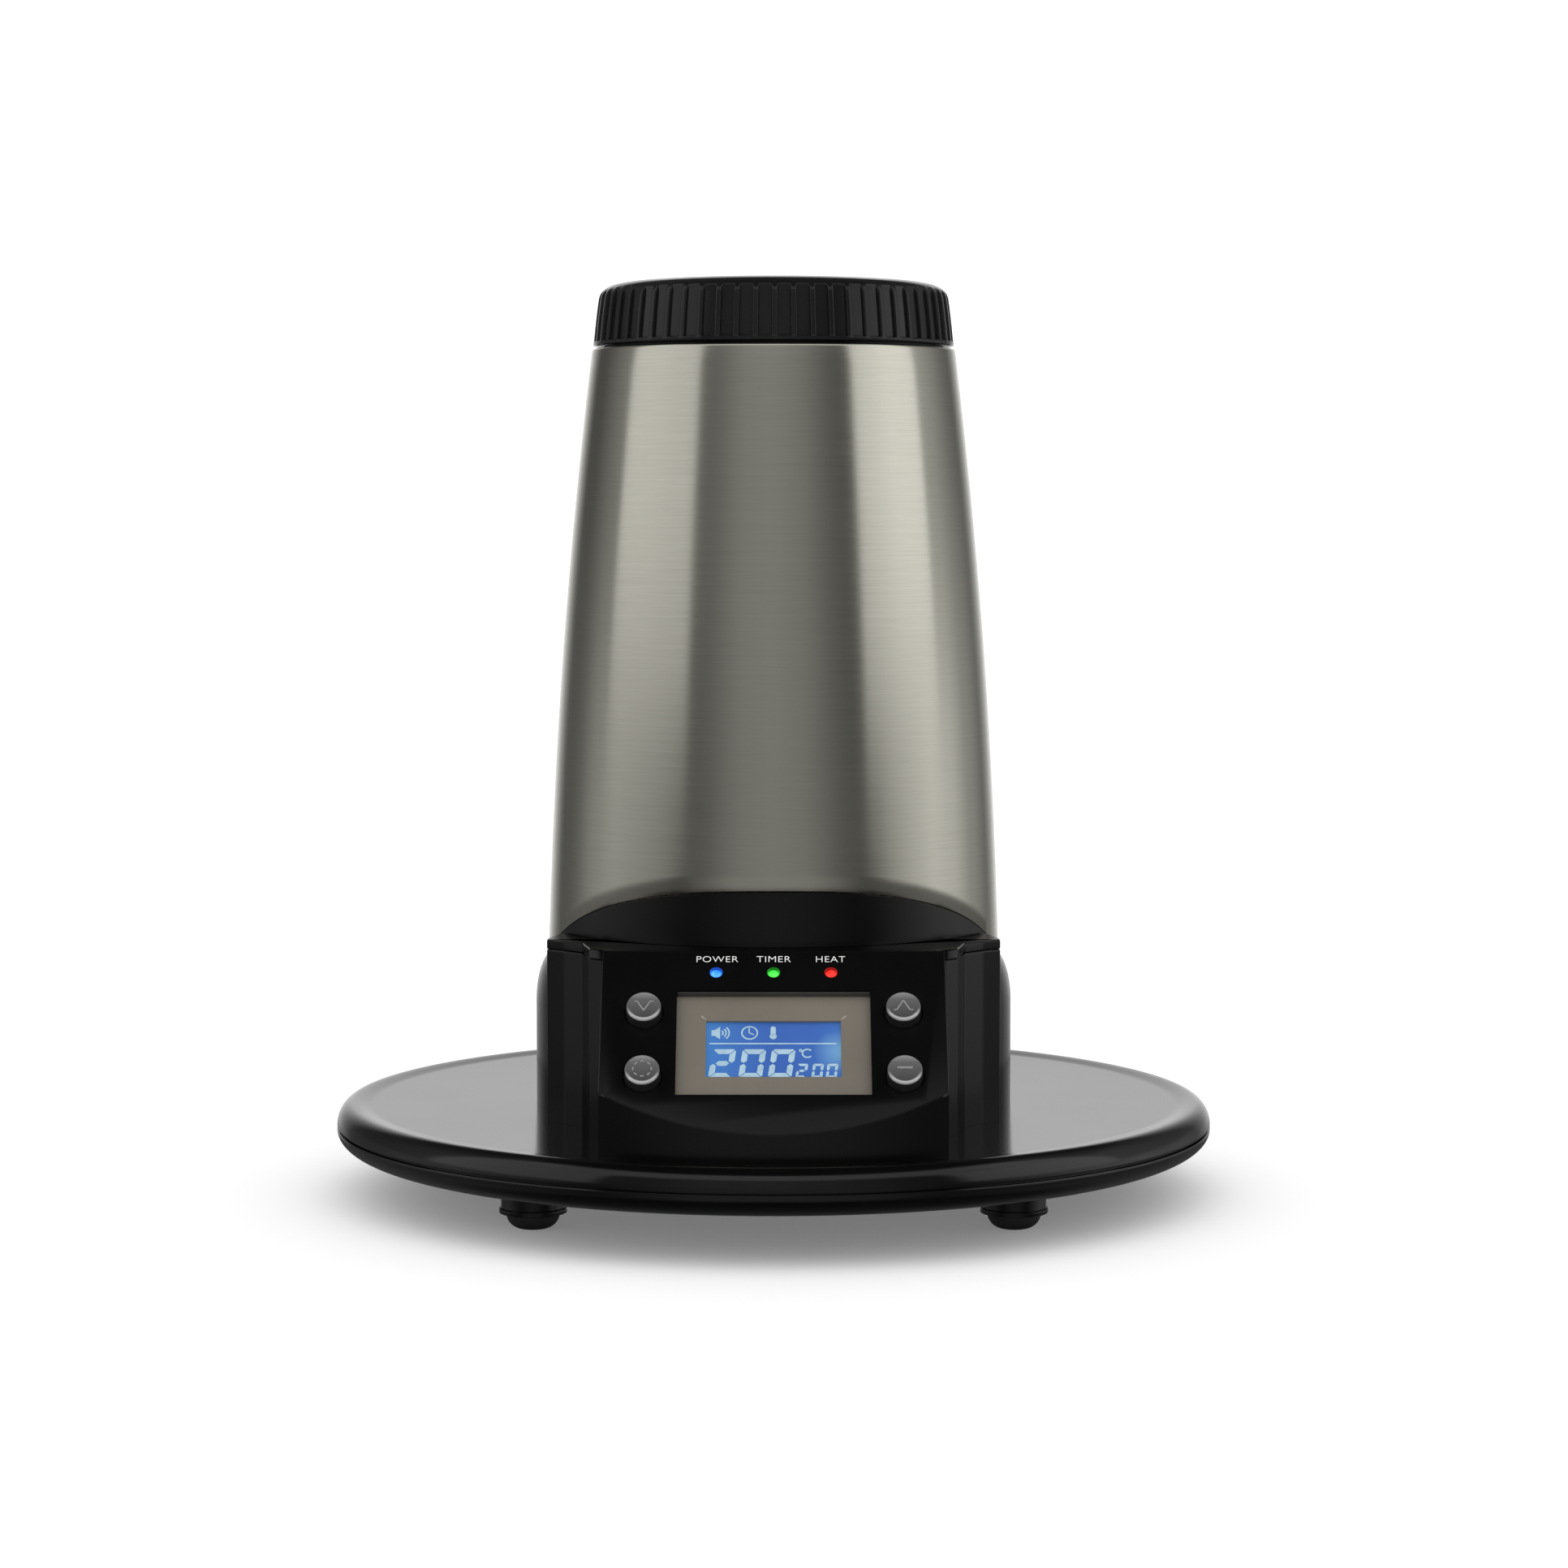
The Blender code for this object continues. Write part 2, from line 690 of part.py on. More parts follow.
def build_controls(frame):
    for place_name, x, s in button_places():
        turned(
            f"button_{place_name}",
            [
                (0, -6.0),
                (2.0, -6.0),
                (2.0, -3.9),
                (6.4, -3.9),
                (6.4, BEZEL_W - 0.1),
                (BUTTON_R, BEZEL_W - 0.1),
                (BUTTON_R - 0.05, 0),
                (BUTTON_R - 0.4, BUTTON_RISE - 0.5),
                (BUTTON_R - 0.75, BUTTON_RISE),
                (0, BUTTON_RISE),
            ],
            "grey_button",
            18,
            parent=frame,
            location=(x, s, 0),
        )
        switch = prism(
            f"switch_{place_name}",
            box_outline(-3, -3, 3, 3),
            BOARD_W + GAP,
            -7.8,
            "dark_resin",
            parent=frame,
            location=(x, s, 0),
            smooth=False,
        )
        plunger = prism(
            f"plunger_guide_{place_name}",
            circle_outline(0, 0, 1.7, 8),
            -8.5,
            -7.1,
            parent=frame,
            location=(x, s, 0),
        )
        unite(switch, plunger)
    for light, x in LED_X.items():
        colour = {"power": "blue_led", "timer": "green_led", "heat": "red_led"}[light]
        dome = ellipse_quarter(0, -0.9, LED_R, 0.8, 3)
        turned(
            f"led_{light}",
            [(0, -5.2), (2.1, -5.2), (2.1, -4.4), (LED_R, -4.4)] + dome,
            colour,
            12,
            parent=frame,
            location=(x, LED_S, 0),
        )
    prism("led_board", box_outline(-20, 52, 20, 57), -6.5, -5.5, "circuit_board", parent=frame, smooth=False)
    prism(
        "control_board",
        box_outline(-43.5, 10, 43.5, 50),
        BOARD_W - 1.6,
        BOARD_W,
        "circuit_board",
        parent=frame,
        smooth=False,
    )
    turned(
        "buzzer",
        [(0, -19.0), (6, -19.0), (6, -13.4), (0, -13.4)],
        "dark_resin",
        16,
        parent=frame,
        location=(25, 22, 0),
    )


# ---------------------------------------------------------------- fan, heater and supply


def blade_loops(turn):
    """One twisted blade: a flat section at each radius, its lower edge turned back and its upper forward."""
    sweep = math.radians(14)
    loops = []
    for radius in (16.4, 23.0, 29.5, 36.0):
        half = 0.6 / radius
        loop = []
        corners = ((-sweep - half, 36.0), (-sweep + half, 36.0), (sweep + half, 48.5), (sweep - half, 48.5))
        for angle, z in corners:
            loop.append((radius * math.cos(turn + angle), radius * math.sin(turn + angle), z))
        loops.append(loop)
    return loops


def build_fan():
    high = FAN_LOW_Z + FAN_DEPTH
    half = FAN_SIZE / 2
    frame = prism(
        "fan_frame", box_outline(-half, -half, half, half), FAN_LOW_Z, high, "black_plastic", smooth=False
    )
    ways = [circle_outline(0, 0, FAN_BORE_R, 32)]
    ways += [circle_outline(x, y, 2.2, 8) for x in (-35.75, 35.75) for y in (-35.75, 35.75)]
    cut(frame, guide_prisms("fan_bore_guide", ways, FAN_LOW_Z - 2, high + 2))
    seat_z = FAN_LOW_Z + 2.5
    reach = half - 1
    struts = (box_outline(-reach, -1.5, reach, 1.5), box_outline(-1.5, -reach, 1.5, reach))
    for i, outline in enumerate(struts):
        unite(frame, prism(f"fan_strut_guide_{i}", outline, FAN_LOW_Z, seat_z))
    unite(frame, prism("fan_seat_guide", circle_outline(0, 0, 16, 24), FAN_LOW_Z, seat_z + 0.01))

    bore = SHAFT_R + 0.08
    low = seat_z + GAP
    turned(
        "fan_stator",
        [(bore, low), (15, low), (15, low + 1.8), (13.2, low + 1.8), (13.2, 44.5), (bore, 44.5)],
        "dark_resin",
        24,
    )
    hub = turned(
        "fan_impeller",
        [(bore, 48), (14.6, 48), (14.6, 33), (17.5, 33), (17.5, 49.5), (16.5, 50.5), (bore, 50.5)],
        "black_plastic",
        28,
    )
    bm = bmesh.new()
    for i in range(BLADE_COUNT):
        add_loft(bm, blade_loops(2 * math.pi * i / BLADE_COUNT))
    unite(hub, place("blade_guide", bm))
    turned("fan_shaft", [(0, 30.5), (SHAFT_R, 30.5), (SHAFT_R, 50.3), (0, 50.3)], "screw_steel", 24)


def build_heater():
    turned("air_duct", [(37.8, 52.1), (39.6, 52.1), (44.2, 65.7), (42.6, 65.7)], "aluminium", 32)
    frame = turned("heater_frame", [(35.5, 57), (38.9, 57), (38.9, 61), (35.5, 61)], "mica", 32)
    bars = (box_outline(-36.5, -1.5, 36.5, 1.5), box_outline(-1.5, -36.5, 1.5, 36.5))
    for i, outline in enumerate(bars):
        unite(frame, prism(f"heater_bar_guide_{i}", outline, 57.2, 59.0 + 0.01 * i))

    spiral = bpy.data.curves.new("heater_coil", "CURVE")
    spiral.dimensions = "3D"
    spiral.bevel_depth = 1.1 * MM
    spiral.bevel_resolution = 1
    spiral.use_fill_caps = True
    path = spiral.splines.new("POLY")
    count = 56
    path.points.add(count - 1)
    for i, point in enumerate(path.points):
        share = i / (count - 1)
        turn = 2 * math.pi * 3.5 * share
        radius = 8 + 24 * share
        point.co = (radius * math.cos(turn) * MM, radius * math.sin(turn) * MM, 60.6 * MM, 1)
    coil = bpy.data.objects.new("heater_coil", spiral)
    bpy.context.scene.collection.objects.link(coil)
    spiral.materials.append(own_material("heater_coil", "heating_wire"))

    bead = [(0, 62.3), (1.6, 62.3), (1.6, 66.6), (0, 66.6)]
    turned("temperature_sensor", bead, "screw_steel", 12, location=(0, 20, 0))
    fuse = turned("thermal_fuse", [(0, -6), (2, -6), (2, 6), (0, 6)], "dark_resin", 12, location=(0, 46, 57))
    fuse.rotation_euler = (0, math.radians(90), 0)


def build_supply():
    prism("power_board", box_outline(-34, -76.4, 34, -74.8), 29, 55, "circuit_board", smooth=False)
    prism("transformer", box_outline(-11, -86, 11, -76.7), 30, 46, "dark_resin", smooth=False)
    inlet = prism("mains_inlet", box_outline(-11, 55, 11, 71.8), 34, 46, "dark_resin", smooth=False)
    flange = prism("inlet_flange_guide", box_outline(-13.5, 71.1, 13.5, 73.1), 31.5, 48.5)
    unite(inlet, flange)
    cut(inlet, prism("inlet_socket_guide", box_outline(-9, 61.5, 9, 76), 35.8, 44.2))
    pin_profile = [(0, -6), (1.2, -6), (1.2, 6), (0, 6)]
    for i, x in enumerate((-4.3, 4.3)):
        pin = turned(f"inlet_pin_guide_{i}", pin_profile, None, 8, location=(x, 64.5, 40))
        pin.rotation_euler = (math.radians(90), 0, 0)
        unite(inlet, pin)


def main():
    clear_scene()
    build_base()
    build_feet()
    build_tower()
    build_chamber()
    build_lid()
    build_console_shells()
    frame = panel_frame()
    build_panel(frame)
    build_controls(frame)
    build_fan()
    build_heater()
    build_supply()
    bpy.context.view_layer.update()


main()
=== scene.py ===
"""The looks of the heated drying canister: fine shells, lid ribs, display graphics, keys and materials.

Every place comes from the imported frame.  Lengths inside the helpers are in millimetres unless a name says
otherwise, and the front of the object faces -Y.
"""

import math

import bmesh
import bpy
from mathutils import Matrix, Vector


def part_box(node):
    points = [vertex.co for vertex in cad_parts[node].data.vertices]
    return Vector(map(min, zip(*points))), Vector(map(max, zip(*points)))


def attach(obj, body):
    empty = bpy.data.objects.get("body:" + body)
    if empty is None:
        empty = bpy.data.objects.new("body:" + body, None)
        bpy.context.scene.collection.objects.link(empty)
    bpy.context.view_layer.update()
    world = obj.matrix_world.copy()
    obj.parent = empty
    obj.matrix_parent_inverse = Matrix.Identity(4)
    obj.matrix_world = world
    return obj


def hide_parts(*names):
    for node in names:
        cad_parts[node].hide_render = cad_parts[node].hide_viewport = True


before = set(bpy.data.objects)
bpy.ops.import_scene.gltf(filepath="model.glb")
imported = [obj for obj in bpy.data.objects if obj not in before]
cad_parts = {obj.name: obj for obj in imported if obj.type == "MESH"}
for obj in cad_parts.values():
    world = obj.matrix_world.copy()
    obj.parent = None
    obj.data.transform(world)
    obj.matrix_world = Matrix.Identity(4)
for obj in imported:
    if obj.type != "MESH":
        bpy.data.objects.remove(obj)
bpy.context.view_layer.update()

MM = 0.001
ROOT2 = math.sqrt(2.0)
FINE = 224  # sides of the large turned pieces
MAIN = "main_unit"
SHARP = 32.0  # degrees between faces from which an edge is shaded sharp


def box_mm(node):
    """Lowest and highest corner of a CAD node, in millimetres."""
    low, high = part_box(node)
    return low / MM, high / MM


# ---------------- camera and studio

CAMERA_LENS = 90.57  # millimetres, on a 36 mm sensor
CAMERA_PLACE = (0.0, -1.172, 0.2059)  # metres
CAMERA_TILT = 4.147  # degrees below the horizon
CAMERA_SHIFT = 0.00665


def make_camera():
    data = bpy.data.cameras.new("camera")
    data.lens = CAMERA_LENS
    data.sensor_width = 36.0
    data.shift_x = CAMERA_SHIFT
    camera = new_object("camera", data)
    camera.location = CAMERA_PLACE
    camera.rotation_euler = (math.radians(90 - CAMERA_TILT), 0, 0)
    bpy.context.scene.camera = camera


def mesh_of(name, bm):
    mesh = bpy.data.meshes.new(name)
    bm.to_mesh(mesh)
    bm.free()
    return mesh


def new_object(name, data):
    obj = bpy.data.objects.new(name, data)
    bpy.context.scene.collection.objects.link(obj)
    return obj


# The studio's brightness as reflections see it: (azimuth from the camera's side, left value, right value)
PANELS = (
    (0, 0.36, 0.36), (17, 0.34, 0.29), (34, 0.20, 0.15), (43, 0.17, 0.11), (45, 0.17, 0.11),
    (47, 0.86, 0.11), (48, 0.87, 0.14), (50, 0.88, 1.02), (60, 0.88, 1.08), (74, 0.95, 1.24),
    (97, 0.98, 1.24), (99, 0.27, 0.48), (107, 0.26, 0.46), (128, 0.11, 0.22), (142, 0.09, 0.14),
    (152, 0.42, 0.42), (163, 0.85, 0.85), (168, 1.0, 1.0), (180, 1.0, 1.0),
)
UPPER = PANELS[:-4] + ((152, 0.06, 0.06), (163, 0.05, 0.05), (180, 0.05, 0.05))
STRIP = (
    (0, 1.0, 1.0), (60, 0.8, 0.8), (75, 0.9, 1.1), (97, 0.9, 1.1), (105, 0.2, 0.3), (140, 0.06, 0.06),
    (180, 0.05, 0.05),
)
HORIZON = (
    (0, 0.32, 0.32), (17, 0.28, 0.28), (35, 0.15, 0.15), (48, 0.10, 0.09), (55, 0.2, 0.16), (61, 0.28, 0.36),
    (74, 0.38, 0.62), (89, 0.48, 0.88), (106, 0.40, 0.80), (120, 0.2, 0.45), (128, 0.15, 0.38),
    (142, 0.12, 0.18), (152, 0.42, 0.42), (163, 0.85, 0.85), (168, 1.0, 1.0), (180, 1.0, 1.0),
)
GROUND = (
    (0, 0.34, 0.34), (20, 0.32, 0.32), (45, 0.1, 0.1), (90, 0.2, 0.2), (140, 0.12, 0.12), (180, 0.05, 0.05),
)
UNDER = ((0, 0.03, 0.03), (180, 0.05, 0.05))
ROOF = ((0, 0.035, 0.035), (120, 0.03, 0.03), (180, 0.03, 0.03))
LAYERS = (  # (elevation in degrees, table)
    (-90, UNDER), (-55, UNDER), (-38, GROUND), (-13, GROUND), (-6, HORIZON), (1.5, HORIZON), (7.5, PANELS),
    (26, PANELS), (31, UPPER), (34, UPPER), (38, STRIP), (54, STRIP), (60, ROOF), (90, ROOF),
)
DOME_RADIUS = 3.0  # metres
DOME_CENTRE = 0.12
WORLD_LIGHT = 1.25
FLOOR_GLOW = 0.165  # light that comes up through the paper


def along(table, azimuth):
    """Value of a brightness table at an azimuth in degrees, 0 behind the camera and positive towards +X."""
    side = 2 if azimuth >= 0 else 1
    for a, b in zip(table, table[1:]):
        if abs(azimuth) <= b[0]:
            return a[side] + (b[side] - a[side]) * (abs(azimuth) - a[0]) / (b[0] - a[0])
    return table[-1][side]


def studio_brightness(azimuth, elevation):
    for (a, low), (b, high) in zip(LAYERS, LAYERS[1:]):
        if elevation <= b:
            share = (elevation - a) / (b - a)
            return along(low, azimuth) * (1 - share) + along(high, azimuth) * share
    return along(ROOF, azimuth)


def make_studio():
    """A white floor and world, and a dome of soft panels and flags that only reflections see."""
    world = bpy.data.worlds.new("studio")
    world.use_nodes = True
    background = world.node_tree.nodes["Background"]
    background.inputs["Color"].default_value = (1, 1, 1, 1)
    background.inputs["Strength"].default_value = WORLD_LIGHT
    bpy.context.scene.world = world
    bpy.context.scene.view_settings.view_transform = "Standard"

    bm = bmesh.new()
    bmesh.ops.create_circle(bm, cap_ends=True, segments=96, radius=6.0)
    floor = new_object("floor", mesh_of("floor", bm))
    floor.visible_glossy = False
    paper = principled("floor_paper", (0.77, 0.77, 0.77), 0.9)
    glow = {"Emission Color": (1, 1, 1, 1), "Emission Strength": FLOOR_GLOW}
    floor.data.materials.append(fed(paper, {"Specular IOR Level": 0.1, **glow}))

    bm = bmesh.new()
    shade = bm.loops.layers.float_color.new("shade")
    columns, rows = 360, 120
    azimuths = [-180 + 360 * i / columns for i in range(columns + 1)]
    elevations = [-89.5 + 179 * j / rows for j in range(rows + 1)]
    grid = []
    for azimuth in azimuths[:-1]:
        line = []
        for rise in map(math.radians, elevations):
            reach, height = DOME_RADIUS * math.cos(rise), DOME_CENTRE + DOME_RADIUS * math.sin(rise)
            line.append(bm.verts.new(front_point(reach, azimuth, height)))
        grid.append(line)
    for i in range(columns):
        for j in range(rows):
            corners = ((i, j), (i + 1, j), (i + 1, j + 1), (i, j + 1))
            face = bm.faces.new([grid[a % columns][b] for a, b in corners])
            for loop, (a, b) in zip(face.loops, corners):
                bright = studio_brightness(azimuths[a], elevations[b])
                loop[shade] = (bright, bright, bright, 1)
    dome = new_object("studio_dome", mesh_of("studio_dome", bm))
    for ray in ("camera", "shadow", "diffuse", "transmission"):
        setattr(dome, f"visible_{ray}", False)
    glow = bpy.data.materials.new("studio_glow")
    glow.use_nodes = True
    tree = glow.node_tree
    tree.nodes.clear()
    colour = tree.nodes.new("ShaderNodeVertexColor")
    colour.layer_name = "shade"
    emission = tree.nodes.new("ShaderNodeEmission")
    output = tree.nodes.new("ShaderNodeOutputMaterial")
    tree.links.new(colour.outputs["Color"], emission.inputs["Color"])
    tree.links.new(emission.outputs["Emission"], output.inputs["Surface"])
    dome.data.materials.append(glow)


# ---------------- materials


def principled(name, colour, roughness, metallic=0.0):
    material = bpy.data.materials.new(name)
    material.use_nodes = True
    return fed(material, {"Base Color": (*colour, 1.0), "Roughness": roughness, "Metallic": metallic})


def feed(tree, socket, value):
    """Links a socket to another one, or sets it to a constant."""
    if isinstance(value, bpy.types.NodeSocket):
        tree.links.new(value, socket)
    else:
        socket.default_value = value


def fed(material, inputs):
    """The material, with its shader's inputs linked to sockets or set to constants."""
    shader = material.node_tree.nodes["Principled BSDF"]
    for name, value in inputs.items():
        feed(material.node_tree, shader.inputs[name], value)
    return material


def maths(tree, operation, *values):
    node = tree.nodes.new("ShaderNodeMath")
    node.operation = operation
    for socket, value in zip(node.inputs, values):
        feed(tree, socket, value)
    return node.outputs["Value"]


def shared(tree, first, share, second):
    """A share of the first value and the rest of the second."""
    return maths(tree, "MULTIPLY_ADD", first, share, maths(tree, "MULTIPLY", second, 1 - share))


def measured(tree, operation, vector):
    """Object space measured against a vector: its dot product with it, or the distance to it."""
    node = tree.nodes.new("ShaderNodeVectorMath")
    node.operation = operation
    node.inputs[1].default_value = vector
    feed(tree, node.inputs[0], tree.nodes.new("ShaderNodeTexCoord").outputs["Object"])
    return node.outputs["Value"]


def noise(tree, scale, stretch=(1, 1, 1), detail=3.0, roughness=0.5, offset=0.0):
    """Noise in object space: scale is in features a metre, stretch divides it along an axis."""
    mapping = tree.nodes.new("ShaderNodeMapping")
    mapping.inputs["Scale"].default_value = [scale / s for s in stretch]
    mapping.inputs["Location"].default_value = (offset, offset, offset)
    texture = tree.nodes.new("ShaderNodeTexNoise")
    texture.inputs["Scale"].default_value = 1.0
    texture.inputs["Detail"].default_value = detail
    texture.inputs["Roughness"].default_value = roughness
    feed(tree, mapping.inputs["Vector"], tree.nodes.new("ShaderNodeTexCoord").outputs["Object"])
    feed(tree, texture.inputs["Vector"], mapping.outputs["Vector"])
    return texture.outputs["Fac"]


def ranged(tree, value, low, high, source=(0.3, 0.7)):
    node = tree.nodes.new("ShaderNodeMapRange")
    node.inputs["From Min"].default_value, node.inputs["From Max"].default_value = source
    node.inputs["To Min"].default_value, node.inputs["To Max"].default_value = low, high
    feed(tree, node.inputs["Value"], value)
    return node.outputs["Result"]


def mixed(tree, factor, first, second, blend="MIX"):
    node = tree.nodes.new("ShaderNodeMix")
    node.data_type = "RGBA"
    node.blend_type = blend
    for key, value in (("Factor", factor), ("A", first), ("B", second)):
        feed(tree, node.inputs[key], (*value, 1.0) if isinstance(value, tuple) else value)
    return node.outputs["Result"]


def blended(tree, value, first, second, source=(0.3, 0.7)):
    """A colour between two, by a value."""
    return mixed(tree, ranged(tree, value, 0.0, 1.0, source), first, second)


def bump(tree, height, distance_mm, strength):
    node = tree.nodes.new("ShaderNodeBump")
    node.inputs["Strength"].default_value = strength
    node.inputs["Distance"].default_value = distance_mm * MM
    feed(tree, node.inputs["Height"], height)
    return node.outputs["Normal"]


def moulded(name, colour, roughness, grain=900, depth=0.02, spread=0.06, lighter=1.5, gloss=0.5):
    """Injection-moulded plastic: a fine spark-eroded grain, slow patches of gloss and a trace of handling."""
    material = principled(name, colour, roughness)
    tree = material.node_tree
    fine = noise(tree, grain, detail=2.0)
    slow = noise(tree, 28, detail=4.0, roughness=0.6, offset=3.0)
    smear = noise(tree, 9, stretch=(1, 1, 4), detail=2.0, offset=7.0)
    finish = ranged(tree, shared(tree, slow, 0.5, smear), roughness - spread, roughness + spread)
    tint = blended(tree, slow, colour, tuple(c * lighter for c in colour))
    grained = bump(tree, fine, depth, 0.35)
    return fed(material, {
        "Roughness": finish, "Base Color": tint, "Normal": grained, "Specular IOR Level": gloss,
    })


def brushed(name, dark, light, roughness, scale, aniso=0.0, depth=0.004):
    """Metal brushed round the Z axis: long shallow scratches, with the gloss spread across them."""
    material = principled(name, light, roughness, 1.0)
    tree = material.node_tree
    lines = noise(tree, 1.0, stretch=tuple(1.0 / s for s in scale), detail=3.0, roughness=0.65)
    broad = noise(tree, 1.0, stretch=(1 / 6, 1 / 6, 1 / 1500), detail=2.0, offset=5.0)
    smudge = noise(tree, 18, detail=3.0, offset=11.0)
    spread = 0.028
    finish = ranged(tree, shared(tree, broad, 0.6, smudge), roughness - spread, roughness + spread)
    tangent = tree.nodes.new("ShaderNodeTangent")
    tangent.direction_type = "RADIAL"
    tangent.axis = "Z"
    return fed(material, {
        "Base Color": blended(tree, lines, dark, light, (0.25, 0.75)), "Roughness": finish,
        "Normal": bump(tree, lines, depth, 0.5), "Tangent": tangent.outputs["Tangent"],
        "Anisotropic": aniso, "Anisotropic Rotation": 0.25,
    })


def lit(name, colour, edge, strength):
    """A lamp lens: milky plastic that glows, brighter patches where the chip is."""
    material = principled(name, colour, 0.22)
    tree = material.node_tree
    glow = blended(tree, noise(tree, 420, detail=1.0), edge, colour)
    return fed(material, {
        "Base Color": glow, "Emission Color": glow, "Emission Strength": strength, "Coat Weight": 0.4,
    })


def key_paint_and_painted_light(name, key_x, key_s):
    """Satin metallic paint on a key's crown over a dark skirt, with painted light on the crown: a painted
    highlight across the top of the face and in a crescent on the lower rim, and painted shade darkening the face
    towards its lower edge.
    """
    material = principled(name, (0.2, 0.2, 0.2), 0.3, 0.35)
    tree = material.node_tree

    def height_along(axis, middle):
        direction = PANEL_AT.to_3x3() @ Vector(axis)
        origin = direction.dot(PANEL_AT.translation) + middle * MM
        return maths(tree, "SUBTRACT", measured(tree, "DOT_PRODUCT", direction), origin)

    def step(value, low, high, start_mm, end_mm):
        return ranged(tree, value, low, high, (start_mm * MM, end_mm * MM))

    across = height_along((0, 1, 0), key_s)
    depth = height_along((0, 0, 1), 0.0)
    reach = measured(tree, "DISTANCE", PANEL_AT @ (Vector((key_x, key_s, 3.3)) * MM))
    # painted shade and painted highlight: the face is painted darker low down and lighter at its top, as if lit
    # from above
    face = mixed(tree, step(across, 0.0, 1.0, -3.4, 3.6), (0.085, 0.085, 0.087), (0.165, 0.165, 0.168))
    top = mixed(tree, step(across, 0.0, 1.0, 2.2, 4.6), face, (0.30, 0.30, 0.305))
    # painted highlight: a bright crescent painted on the lower side of the rim
    painted_rim_highlight = maths(tree, "MULTIPLY", step(reach, 0.0, 1.0, 3.95, 4.25), step(across, 1.0, 0.0, -3.2, -0.8))
    rim = mixed(tree, painted_rim_highlight, top, (0.5, 0.5, 0.505))
    paint_and_painted_light = mixed(tree, step(depth, 0.0, 1.0, 2.6, 2.95), (0.016, 0.016, 0.017), rim)
    fleck = noise(tree, 5200, detail=1.0)
    satin = ranged(tree, fleck, 0.26, 0.36)
    return fed(material, {"Base Color": paint_and_painted_light, "Roughness": satin, "Normal": bump(tree, fleck, 0.01, 0.3)})


DISPLAY_HALF = 18.6  # half width of the lit area
DISPLAY_STOPS = (  # (place from left to right, colour)
    (0.0, (0.055, 0.26, 0.52, 1)),
    (0.2, (0.045, 0.17, 0.38, 1)),
    (0.5, (0.027, 0.085, 0.27, 1)),
    (0.82, (0.032, 0.11, 0.30, 1)),
    (1.0, (0.05, 0.17, 0.42, 1)),
)
LEAK_AT = (18.2, 30.5, -3.3)  # where the backlight leaks in, in the panel's frame


def display_glass(name):
    """The lit blue display: paler at its left and right edges, with the faint cell pattern of the glass."""
    material = principled(name, (0.03, 0.08, 0.3), 0.2)
    tree = material.node_tree
    place = measured(tree, "DOT_PRODUCT", (1, 0, 0))
    share = ranged(tree, place, 0.0, 1.0, (-DISPLAY_HALF * MM, DISPLAY_HALF * MM))
    ramp = tree.nodes.new("ShaderNodeValToRGB")
    stops = ramp.color_ramp.elements
    for position, _ in DISPLAY_STOPS[1:-1]:
        stops.new(position)
    for stop, (_, colour) in zip(stops, DISPLAY_STOPS):
        stop.color = colour
    feed(tree, ramp.inputs["Fac"], share)
    cloud = blended(tree, noise(tree, 60, detail=2.0), (0.82, 0.82, 0.86), (1.1, 1.1, 1.1))
    mottled = mixed(tree, 1.0, ramp.outputs["Color"], cloud, "MULTIPLY")
    spot = measured(tree, "DISTANCE", PANEL_AT @ (Vector(LEAK_AT) * MM))
    leak = ranged(tree, spot, 1.0, 0.0, (1.2 * MM, 7.5 * MM))
    return fed(material, {
        "Emission Color": mixed(tree, leak, mottled, (0.24, 0.52, 0.62)), "Emission Strength": 0.5,
        "Normal": bump(tree, noise(tree, 2600, detail=0.0), 0.01, 0.2),
    })


# Finishes by name. Plastics: colour, roughness and what differs from the usual grain.
PLASTICS = {
    "base_plastic": ((0.001, 0.001, 0.0011), 0.14, dict(grain=700, depth=0.005, spread=0.025, gloss=0.42)),
    "tower_plastic": ((0.0009, 0.0009, 0.001), 0.22, dict(depth=0.01, spread=0.04, gloss=0.32)),
    "lid_plastic": ((0.0055, 0.0055, 0.0057), 0.15, dict(grain=1100, depth=0.008, spread=0.03, gloss=0.27)),
    "panel_plastic": ((0.001, 0.001, 0.0011), 0.3, dict(grain=1600, depth=0.01, gloss=0.3)),
    "rubber": ((0.006, 0.006, 0.006), 0.62, dict(grain=1500, depth=0.03, spread=0.1)),
    "silicone": ((0.5, 0.5, 0.48), 0.45, dict(grain=500, lighter=1.15)),
    "key_sign": ((0.2, 0.2, 0.2), 0.35, dict(grain=1600, depth=0.006, lighter=1.2)),
    "bezel_plastic": ((0.148, 0.130, 0.103), 0.5, dict(grain=1200, depth=0.01, lighter=1.12)),
    "tick_plastic": ((0.27, 0.245, 0.205), 0.4, dict(grain=1200, depth=0.01, lighter=1.1)),
    # painted reflection: the upstand's grey stands for the floor reflected in the window's top wall
    "upstand_painted_reflection": ((0.026, 0.026, 0.025), 0.3, dict(grain=1200, depth=0.01)),
    "milky": ((0.6, 0.63, 0.65), 0.4, dict(grain=400, lighter=1.1)),
    "board": ((0.012, 0.1, 0.035), 0.4, dict(grain=600, depth=0.03, lighter=1.7)),
    "resin": ((0.02, 0.02, 0.02), 0.5, dict(grain=800, depth=0.03)),
    "wool": ((0.55, 0.48, 0.3), 0.92, dict(grain=260, depth=1.2, lighter=1.35)),
    "mica": ((0.36, 0.28, 0.18), 0.45, dict(grain=220, depth=0.08)),
}
